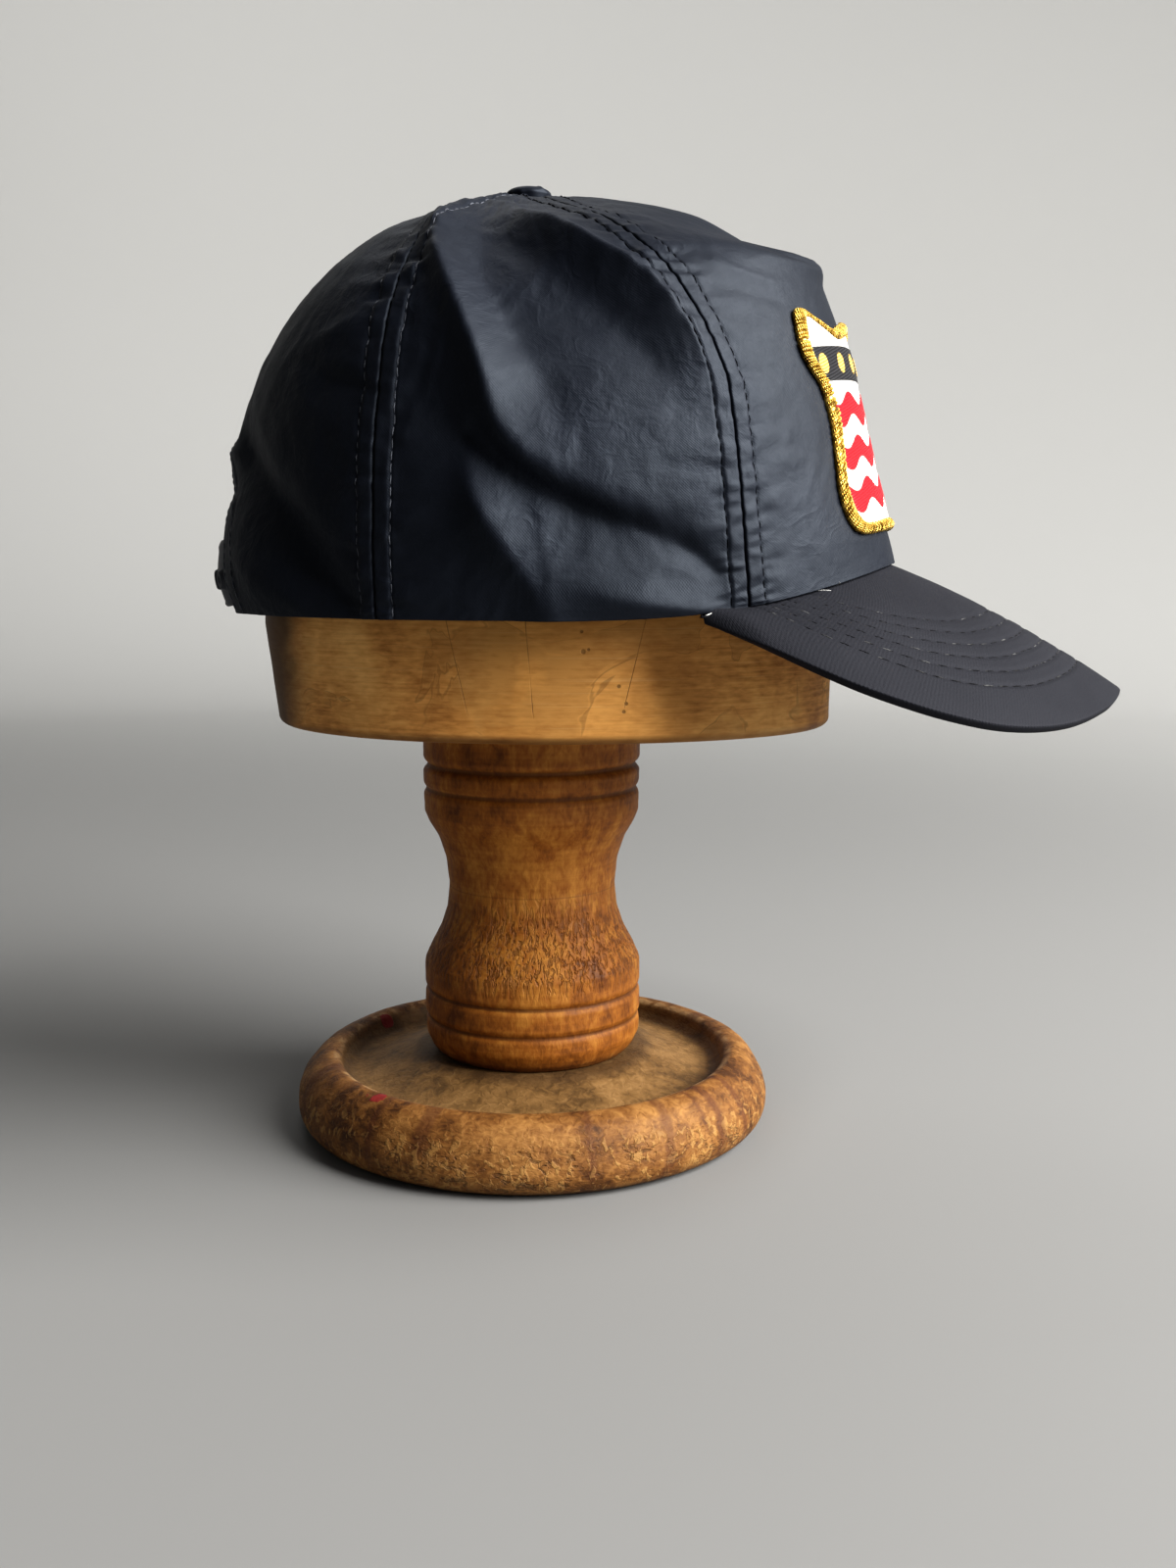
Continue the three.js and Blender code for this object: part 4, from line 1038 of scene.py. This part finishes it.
def patch_twill(start):
    """White twill field with satin embroidery: red wavy bars, a black sash and gold discs in a row on it."""
    spot, place = cloth_spot(start), object_spot(start)
    across, up, _ = spot.parts()
    bar_blur, blur = 0.25, 0.2
    swell = (across * (TURN / BAR_WAVE)).sine() * BAR_SWELL
    bars = highest(abs(up - row - swell).step(BAR_HALF + bar_blur, BAR_HALF - bar_blur)
                   for row in BAR_HEIGHTS)
    sash = up.step(SASH_LOW - blur, SASH_LOW + blur).least(up.step(SASH_HIGH + blur, SASH_HIGH - blur))
    beside = across - across.math("ROUND", across / DISC_STEP) * DISC_STEP
    level = up - 0.5 * (SASH_LOW + SASH_HIGH)
    disc = (beside * beside + level * level).root().step(DISC_RADIUS + blur, DISC_RADIUS - blur)
    sewn = bars.most(sash)
    satin = ((across * 1.6 + up * 8.6) + spot.noise(0.5, 2) * 2).sine()
    shine = satin.step(-1, 1)
    twill = ((across + up) * 6.5).sine()
    white = place.noise(60, 4).step(0.35, 0.75).mix(colour(0.86, 0.84, 0.79), colour(0.68, 0.65, 0.58))
    red = shine.mix(colour(0.34, 0.006, 0.012), colour(0.50, 0.012, 0.022))
    black = shine.mix(colour(0.008, 0.008, 0.010), colour(0.028, 0.028, 0.032))
    gold = shine.mix(colour(0.42, 0.25, 0.05), colour(0.78, 0.55, 0.16))
    relief = satin * sewn * 0.6 + twill * (1 - sewn) * 0.3
    return {
        "Base Color": disc.mix(sash.mix(bars.mix(white, red), black), gold),
        "Roughness": 0.78 - 0.3 * sewn,
        "Normal": relief.bump(0.0003, 0.6),
        "Specular IOR Level": 0.2,
    }


def gold_thread(start):
    """Metal-wrapped thread: each winding bright or tarnished, with fine turns of the wrap along it."""
    along_thread, number, _ = cloth_spot(start).parts()
    tarnish = object_spot(start).noise(420, 3)
    wrap = (along_thread * 9 + number * 2.4).sine()
    return {
        "Base Color": tarnish.ramp(
            (0.30, (0.15, 0.075, 0.010)), (0.46, (0.52, 0.31, 0.042)), (0.68, (0.86, 0.62, 0.16))),
        "Metallic": 0.5 + 0.3 * tarnish,
        "Roughness": 0.26 + 0.2 * tarnish,
        "Normal": (wrap + tarnish).bump(0.00025, 0.6),
    }


def strap_plastic(start):
    """Navy moulded plastic with a fine grain and rubbed places."""
    place = object_spot(start)
    rub, grain = place.noise(45, 4), place.noise(1800, 1)
    return {
        "Base Color": rub.step(0.4, 0.8).mix(colour(0.006, 0.008, 0.016), colour(0.020, 0.023, 0.034)),
        "Roughness": 0.36 + 0.25 * rub,
        "Normal": grain.bump(0.0001, 0.35),
    }


# Marks on the near side of the block, in millimetres along Y and Z: scratched lines from their upper end
# to their lower one, and worm holes with their radius
SCRATCHES = [(8.0, 154.0, 2.8, 130.0), (-12.7, 154.0, -14.3, 130.0), (-42.4, 154.0, -37.2, 132.0)]
WORM_HOLES = [(-26.8, 151.9, 0.5), (-27.1, 146.7, 0.8), (-28.4, 147.2, 0.5), (-35.9, 137.7, 0.6),
              (-37.7, 133.2, 0.6), (-37.1, 131.1, 0.6)]


def block_wood(start):
    """Honey-coloured old wood, painted paler towards its ends as painted light that evens out how light falls
    across the block: level saw lines and pale streaks, blotched patina, stains with a darker outline,
    scratched lines and worm holes, and painted shade at the back end and along the foot."""
    place = object_spot(start)
    x, y, z = place.parts()
    blotch, patch = place.noise(22, 5, 0.4), place.noise(60, 5, 0.3)
    lines = place.noise(1, 3, 0, stretch=(40, 40, 1500))
    fibre = place.noise(1, 5, 0.3, stretch=(240, 240, 800))
    streak = place.noise(1, 1, 0, stretch=(14, 14, 2300)).step(0.62, 0.72)
    stain = place.noise(26, 4, 1.2)
    outline = abs(stain - 0.55).step(0.012, 0.002) * 0.34
    tide = outline.most(stain.step(0.55, 0.57) * 0.20) * patch.step(0.36, 0.56)

    def scratch(top_y, top_z, low_y, low_z):
        lean = (low_y - top_y) / (low_z - top_z)
        off = abs(y - (z - top_z * MM) * lean - top_y * MM)
        return off.step(0.00016, 0.00004) * patch.step(0.3, 0.6) * z.step((low_z - 1) * MM, (low_z + 2) * MM)

    def hole(at_y, at_z, radius):
        off_y, off_z = y - at_y * MM, z - at_z * MM
        return (off_y * off_y + off_z * off_z).step((radius * MM) ** 2, (0.5 * radius * MM) ** 2)

    marks = highest([scratch(*line) for line in SCRATCHES] + [hole(*spot) for spot in WORM_HOLES])
    marks = marks * x.step(-0.02, -0.03)
    # painted shade: the back end, which turns away from the window, is darkened
    back_end_painted_shade = (y + (blotch - 0.5) * 0.03 + (patch - 0.5) * 0.012).step(0.049, 0.066)
    # painted shade along the foot, under the block's bottom edge
    foot = z.step(0.1255, 0.1232)
    # stains, scratches and worm holes, together with the painted shade at the back end and the foot
    stains_and_painted_shade = highest([tide, back_end_painted_shade * 0.9, foot * 0.6, marks * 0.6])
    shade = blotch * 0.44 + lines * 0.13 + patch * 0.23 + fibre * 0.20
    honey = shade.ramp(
        (0.37, (0.26, 0.102, 0.021)), (0.48, (0.48, 0.215, 0.049)), (0.59, (0.66, 0.330, 0.088)))
    painted_lit_honey = shade.ramp(
        (0.38, (0.37, 0.146, 0.032)), (0.48, (0.74, 0.37, 0.107)), (0.58, (0.97, 0.57, 0.20)))
    # painted light: paler towards the back and the front end, evening out how light falls across the block
    honey_with_painted_light = (y.step(-0.012, 0.03) * 0.8).most(y.step(-0.045, -0.066) * 0.7).mix(honey, painted_lit_honey)
    pale = (streak * 0.28 * patch.step(0.35, 0.6)).mix(honey_with_painted_light, colour(0.74, 0.47, 0.20))
    height = lines * 0.35 + fibre * 0.4 - marks * 1.6
    return {
        "Base Color": stains_and_painted_shade.mix(pale, colour(0.050, 0.021, 0.007)),
        "Roughness": 0.46 + 0.28 * patch,
        "Normal": height.bump(0.00035, 0.5),
        "Specular IOR Level": 0.28,
    }


# Grooves of the post: height, half-width, and how much dirt they hold
GROOVES = [(32.9, 0.9, 0.6), (41.3, 0.9, 0.6), (102.6, 1.0, 0.55), (109.8, 1.2, 0.6), (72.6, 0.3, 0.3)]


def post_wood(start):
    """Orange-brown turned wood: gold and brown mottling with fine upright flecks, torn ripples of grain on
    the lower flare, level tool lines, dirt in the grooves, a faint line at the waist, and painted shade at
    the foot."""
    place = object_spot(start)
    _, _, z = place.parts()
    tone, mottle = place.noise(26, 4, 0.4), place.noise(1, 5, 0.7, stretch=(200, 200, 130))
    fleck = place.noise(1, 4, 0.6, stretch=(900, 900, 420))
    rings = place.noise(1, 2, 0, stretch=(25, 25, 900))
    torn_zone = z.step(0.043, 0.051).least(z.step(0.078, 0.058))
    tear = place.noise(1, 2, 1.0, stretch=(950, 950, 230)).step(0.54, 0.36) * torn_zone
    grooves = highest(abs(z - height * MM).step(half * MM, 0.25 * half * MM) * share
                      for height, half, share in GROOVES)
    # painted shade at the foot, where the post stands in the dish
    foot = z.step(0.027, 0.0225)
    # dirt in the grooves and torn grain, with the painted shade at the foot
    dirt_and_painted_shade = highest([grooves * (0.5 + mottle), tear * 0.5, foot * 0.5])
    shade = tone * 0.34 + mottle * 0.34 + fleck * 0.22 + rings * 0.10
    orange = shade.ramp(
        (0.37, (0.130, 0.039, 0.005)), (0.49, (0.30, 0.104, 0.013)), (0.62, (0.50, 0.222, 0.040)))
    height = fleck * 0.3 + mottle * 0.25 + rings * 0.12 - tear * 1.5
    return {
        "Base Color": dirt_and_painted_shade.mix(orange, colour(0.050, 0.015, 0.004)),
        "Roughness": 0.46 + 0.25 * mottle,
        "Normal": height.bump(0.0007, 0.6),
        "Specular IOR Level": 0.28,
    }


# Marks on the base: dark runs down the rim by angle, width and length, and red paint flecks by their place
# and radius
RUNS = [(117, 1.8, 16), (104, 5.0, 9), (65, 1.6, 16), (47, 3.4, 18), (35, 0.7, 9), (30, 3.0, 18),
        (20, 2.6, 20), (150, 6.0, 14), (-40, 5.0, 15), (-110, 4.0, 18), (-150, 3.0, 16)]
FLECKS = [(22.5, 55.0, 18.6, 2.8), (-54.7, 33.0, 20.7, 2.3), (-52.5, 36.8, 20.3, 1.1)]


def base_wood(start):
    """Old base: brown and ochre fibrous rim, flaked, torn and chipped low down, with runs of stain and a pale
    worn lip, a duller dish, painted shade where the dish meets its wall and the post and along the bottom
    edge, and flecks of red paint."""
    place = object_spot(start)
    x, y, z = place.parts()
    reach = (x * x + y * y).root()
    turn = x.math("ARCTAN2", 0 - x, 0 - y)
    tone, mottle = place.noise(34, 5, 0.6), place.noise(150, 5, 0.7)
    fibre = place.noise(1, 5, 1.2, stretch=(420, 420, 680))
    torn = place.noise(1, 4, 1.4, stretch=(260, 260, 560))
    flaky = place.noise(1, 4, 0.9, stretch=(420, 420, 300))

    def run(angle, wide, long):
        off = abs(turn - angle * RAD + (tone - 0.5) * 0.12 + (mottle - 0.5) * 0.05) * BASE[2, 0]
        return off.step(0.5 * wide + 1.1, 0.5 * wide - 0.8) * z.step((17 - long) * MM, (24 - long) * MM)

    def fleck(at_x, at_y, at_z, radius):
        off_x, off_y, off_z = x - at_x * MM, y - at_y * MM, z - at_z * MM
        far = (off_x * off_x + off_y * off_y + off_z * off_z).root() + (mottle - 0.5) * 0.006
        return far.step(radius * MM, 0.8 * radius * MM)

    runs = highest(run(*row) for row in RUNS)
    paint = highest(fleck(*row) for row in FLECKS)
    dish = reach.step(0.0605, 0.0575)
    lip = abs(reach - 0.0600).step(0.0016, 0.0004) * mottle.step(0.42, 0.58)
    # painted shade in the cove, where the dish meets its wall, and on the ring of dish beside the post
    cove, ring = reach.step(0.0535, 0.057) * dish, reach.step(0.0385, 0.034)
    chips = torn.step(0.47, 0.36) * tone.step(0.46, 0.58) * z.step(0.0175, 0.010)
    flake = flaky.step(0.54, 0.62) * (1 - dish) * z.step(0.020, 0.012)
    shade = tone * 0.36 + mottle * 0.36 + fibre * 0.28
    rim_tone = shade.ramp(
        (0.40, (0.070, 0.026, 0.007)), (0.50, (0.195, 0.082, 0.020)), (0.62, (0.36, 0.178, 0.052)))
    dish_tone = shade.ramp(
        (0.40, (0.105, 0.057, 0.020)), (0.50, (0.20, 0.110, 0.038)), (0.62, (0.31, 0.180, 0.070)))
    worn = (flake * 0.6).mix(dish.mix(rim_tone, dish_tone), colour(0.42, 0.235, 0.075))
    wood = (lip * 0.45).mix(worn, colour(0.50, 0.34, 0.17))
    stained = (runs * (1 - dish) * (0.3 + 0.5 * mottle)).mix(wood, colour(0.085, 0.026, 0.011))
    # dark chips, with the painted shade in the cove, beside the post and along the bottom edge on the ground
    dirt_and_painted_shade = highest([cove * 0.5, ring * 0.55, chips * 0.55, z.step(0.004, 0.0005) * 0.6])
    soiled_with_painted_shade = dirt_and_painted_shade.mix(stained, colour(0.040, 0.020, 0.009))
    height = fibre * 0.7 + mottle * 0.25 + flake * 0.4 - chips * 1.3 + paint * 0.3
    return {
        "Base Color": (paint * 0.85).mix(soiled_with_painted_shade, colour(0.26, 0.014, 0.020)),
        "Roughness": 0.52 + 0.25 * mottle,
        "Normal": height.bump(0.0007, 0.6),
        "Specular IOR Level": 0.26,
    }


def pale_stage(start):
    """Matt pale ground and backdrop with painted light and shade: paler far from the stand, making up for
    light that fades with distance; painted dark behind the camera as an unlit room and darker by the window,
    where the lamp is strongest; and a soft painted glow on the backdrop by the window that adds light from
    there."""
    x, y, _ = object_spot(start).parts()
    # painted light: paler far from the stand, making up for light that fades with distance
    far = (x * x + y * y).root().step(0.35, 1.7)
    # painted shade: dark on the camera's side, standing in for an unlit room
    camera_side = (x - y * 0.35).step(1.6, -0.6)
    from_window = x * 0.21 + y * 0.98
    backdrop = camera_side.mix(colour(0.56, 0.56, 0.55), colour(0.13, 0.13, 0.13))
    ground = far.mix(colour(0.21, 0.21, 0.207), backdrop)
    return {
        # painted shade: darker by the window, where the lamp's light is strongest
        "Base Color": from_window.step(-0.25, -1.2).mix(ground, colour(0.09, 0.09, 0.088)),
        "Roughness": 0.9,
        # painted light: the backdrop glows on the window side, adding soft light from there
        "Emission Color": from_window.step(-0.6, -1.6).mix(colour(0, 0, 0), colour(0.24, 0.24, 0.236)),
        "Emission Strength": 1.0,
    }


# The pieces

nylon = finish("crown_nylon", crown_nylon)
twill = finish("brim_cloth", brim_twill)
gold = finish("gold_thread", gold_thread)
dark_thread = finish("dark_thread", thread((0.0010, 0.0012, 0.002), (0.003, 0.0035, 0.006), sheen=0.02))
pale_thread = finish("pale_thread", thread((0.030, 0.034, 0.046), (0.090, 0.098, 0.118)))
brim_thread = finish("brim_thread", thread((0.005, 0.005, 0.007), (0.10, 0.10, 0.10), 0.50, 0.72, 0.06))
white_thread = finish("white_thread", thread((0.32, 0.32, 0.31), (0.62, 0.62, 0.60)))

dress("front_panel_cloth", front_panel(), nylon, "crown_nylon", "front_panel")
for side, word in ((1, "right"), (-1, "left")):
    dress(f"side_panel_cloth_{word}", side_panel(side), nylon, "crown_nylon", f"side_panel_{word}")
    dress(f"back_panel_cloth_{word}", back_panel(side), nylon, "crown_nylon", f"back_panel_{word}")
    dress(f"front_seam_stitches_{word}", joined(seam_stitches(1, side)), dark_thread, "crown_nylon")
    dress(f"back_seam_stitches_{word}", joined(seam_stitches(2, side)), pale_thread, "crown_nylon")
dress("back_stitches", joined(centre_stitches() + arch_stitches()), pale_thread, "crown_nylon")
dress("button_cover", button(), finish("button_nylon", crown_nylon), "crown_nylon", "crown_button")
dress("brim_cover", brim_panel(), twill, "brim_cloth", "brim")
dress("brim_stitches", joined(brim_stitches()), brim_thread, "brim_cloth")
dress("loose_thread_ends", joined(loose_ends()), white_thread, "brim_cloth")
dress("patch_field", patch_field(), finish("patch_twill", patch_twill), "patch_cloth", "patch")
dress("patch_edging", joined([border_core(), border_threads()]), gold, "patch_thread", "patch_border")
dress("snap_strap_back", snap_strap(), finish("strap_plastic", strap_plastic), "strap_plastic", "snap_strap")
dress("block_body", hat_block(), finish("block_wood", block_wood), "block_wood", "hat_block")
dress("post_body", stand_post(), finish("post_wood", post_wood), "post_wood", "stand_post")
dress("base_body", stand_base(), finish("base_wood", base_wood), "base_wood", "stand_base")

# Ground, light and camera

CAMERA_TURN, CAMERA_FAR, CAMERA_HEIGHT = 12 * RAD, 0.460, 0.1695   # towards the front from the right side
PHOTO_WIDE, PHOTO_HIGH, FOCAL = 1200, 1600, 1564     # pixels
AXIS_X, HORIZON_Y = 542, 573                         # the stand's axis and the eye level, in pixels
SENSOR, CLIP_START = 36.0, 0.01
STAGE_FLAT, STAGE_COVE, STAGE_WALL, GROUND_GAP = 1300.0, 600.0, 2600.0, 0.02
CAP_MIDDLE = Vector((0, 0, 0.17))
SKY_TINT, SKY_STRENGTH = colour(0.5, 0.5, 0.5), 0.08

UP = Vector((0, 0, 1))
to_camera = Vector((-np.cos(CAMERA_TURN), -np.sin(CAMERA_TURN), 0))
to_right = (-to_camera).cross(UP)


def stage_bowl():
    """Round studio ground: a flat disc whose edge turns up in a quarter circle into a wall."""
    cove = np.linspace(0, 0.5 * np.pi, 24)[1:]
    flat = np.linspace(0.02, 1, 16) ** 2 * STAGE_FLAT
    radius = np.concatenate([flat, STAGE_FLAT + STAGE_COVE * np.sin(cove), [STAGE_FLAT + STAGE_COVE]])
    height = np.concatenate([0 * flat, STAGE_COVE * (1 - np.cos(cove)), [STAGE_WALL]]) - GROUND_GAP
    points, faces, _ = turned(radius[:, None], height[:, None], round_steps(128))
    return points, faces[:2], None


def area_light(name, place, size, power, tint):
    """Square soft light that faces the middle of the cap."""
    light = bpy.data.lights.new(name, "AREA")
    light.shape, light.size, light.energy, light.color = "SQUARE", size, power, tint
    lamp = bpy.data.objects.new(name, light)
    lamp.location = place
    lamp.visible_camera = False
    lamp.rotation_euler = (CAP_MIDDLE - place).to_track_quat("-Z", "Y").to_euler()
    bpy.context.scene.collection.objects.link(lamp)


dress("floor", stage_bowl(), finish("pale_stage", pale_stage), None)
area_light("window", to_right * 1.14 + to_camera * 0.50 + UP * 0.95, 1.2, 74, (1.0, 0.985, 0.96))
area_light("behind", to_camera * -1.1 + to_right * -0.3 + UP * 1.9, 1.0, 6.0, (1.0, 1.0, 1.0))

sky = bpy.data.worlds.new("studio")
sky.use_nodes = True
sky.node_tree.nodes["Background"].inputs["Color"].default_value = SKY_TINT
sky.node_tree.nodes["Background"].inputs["Strength"].default_value = SKY_STRENGTH
bpy.context.scene.world = sky
bpy.context.scene.view_settings.view_transform = "Standard"
bpy.context.scene.view_settings.look = "Medium High Contrast"

lens = bpy.data.cameras.new("camera")
lens.sensor_width = SENSOR
lens.lens = FOCAL / PHOTO_HIGH * SENSOR
lens.clip_start = CLIP_START
camera = bpy.data.objects.new("camera", lens)
yaw = np.arctan((PHOTO_WIDE / 2 - AXIS_X) / FOCAL)
pitch = np.arctan((PHOTO_HIGH / 2 - HORIZON_Y) / FOCAL)
level = -to_camera * np.cos(yaw) + to_right * np.sin(yaw)
view_right = level.cross(UP)
ahead = level * np.cos(pitch) - UP * np.sin(pitch)
view_up = view_right.cross(ahead)
turn = Matrix((view_right, view_up, -ahead)).transposed()
camera.matrix_world = Matrix.Translation(to_camera * CAMERA_FAR + UP * CAMERA_HEIGHT) @ turn.to_4x4()
bpy.context.scene.collection.objects.link(camera)
bpy.context.scene.camera = camera
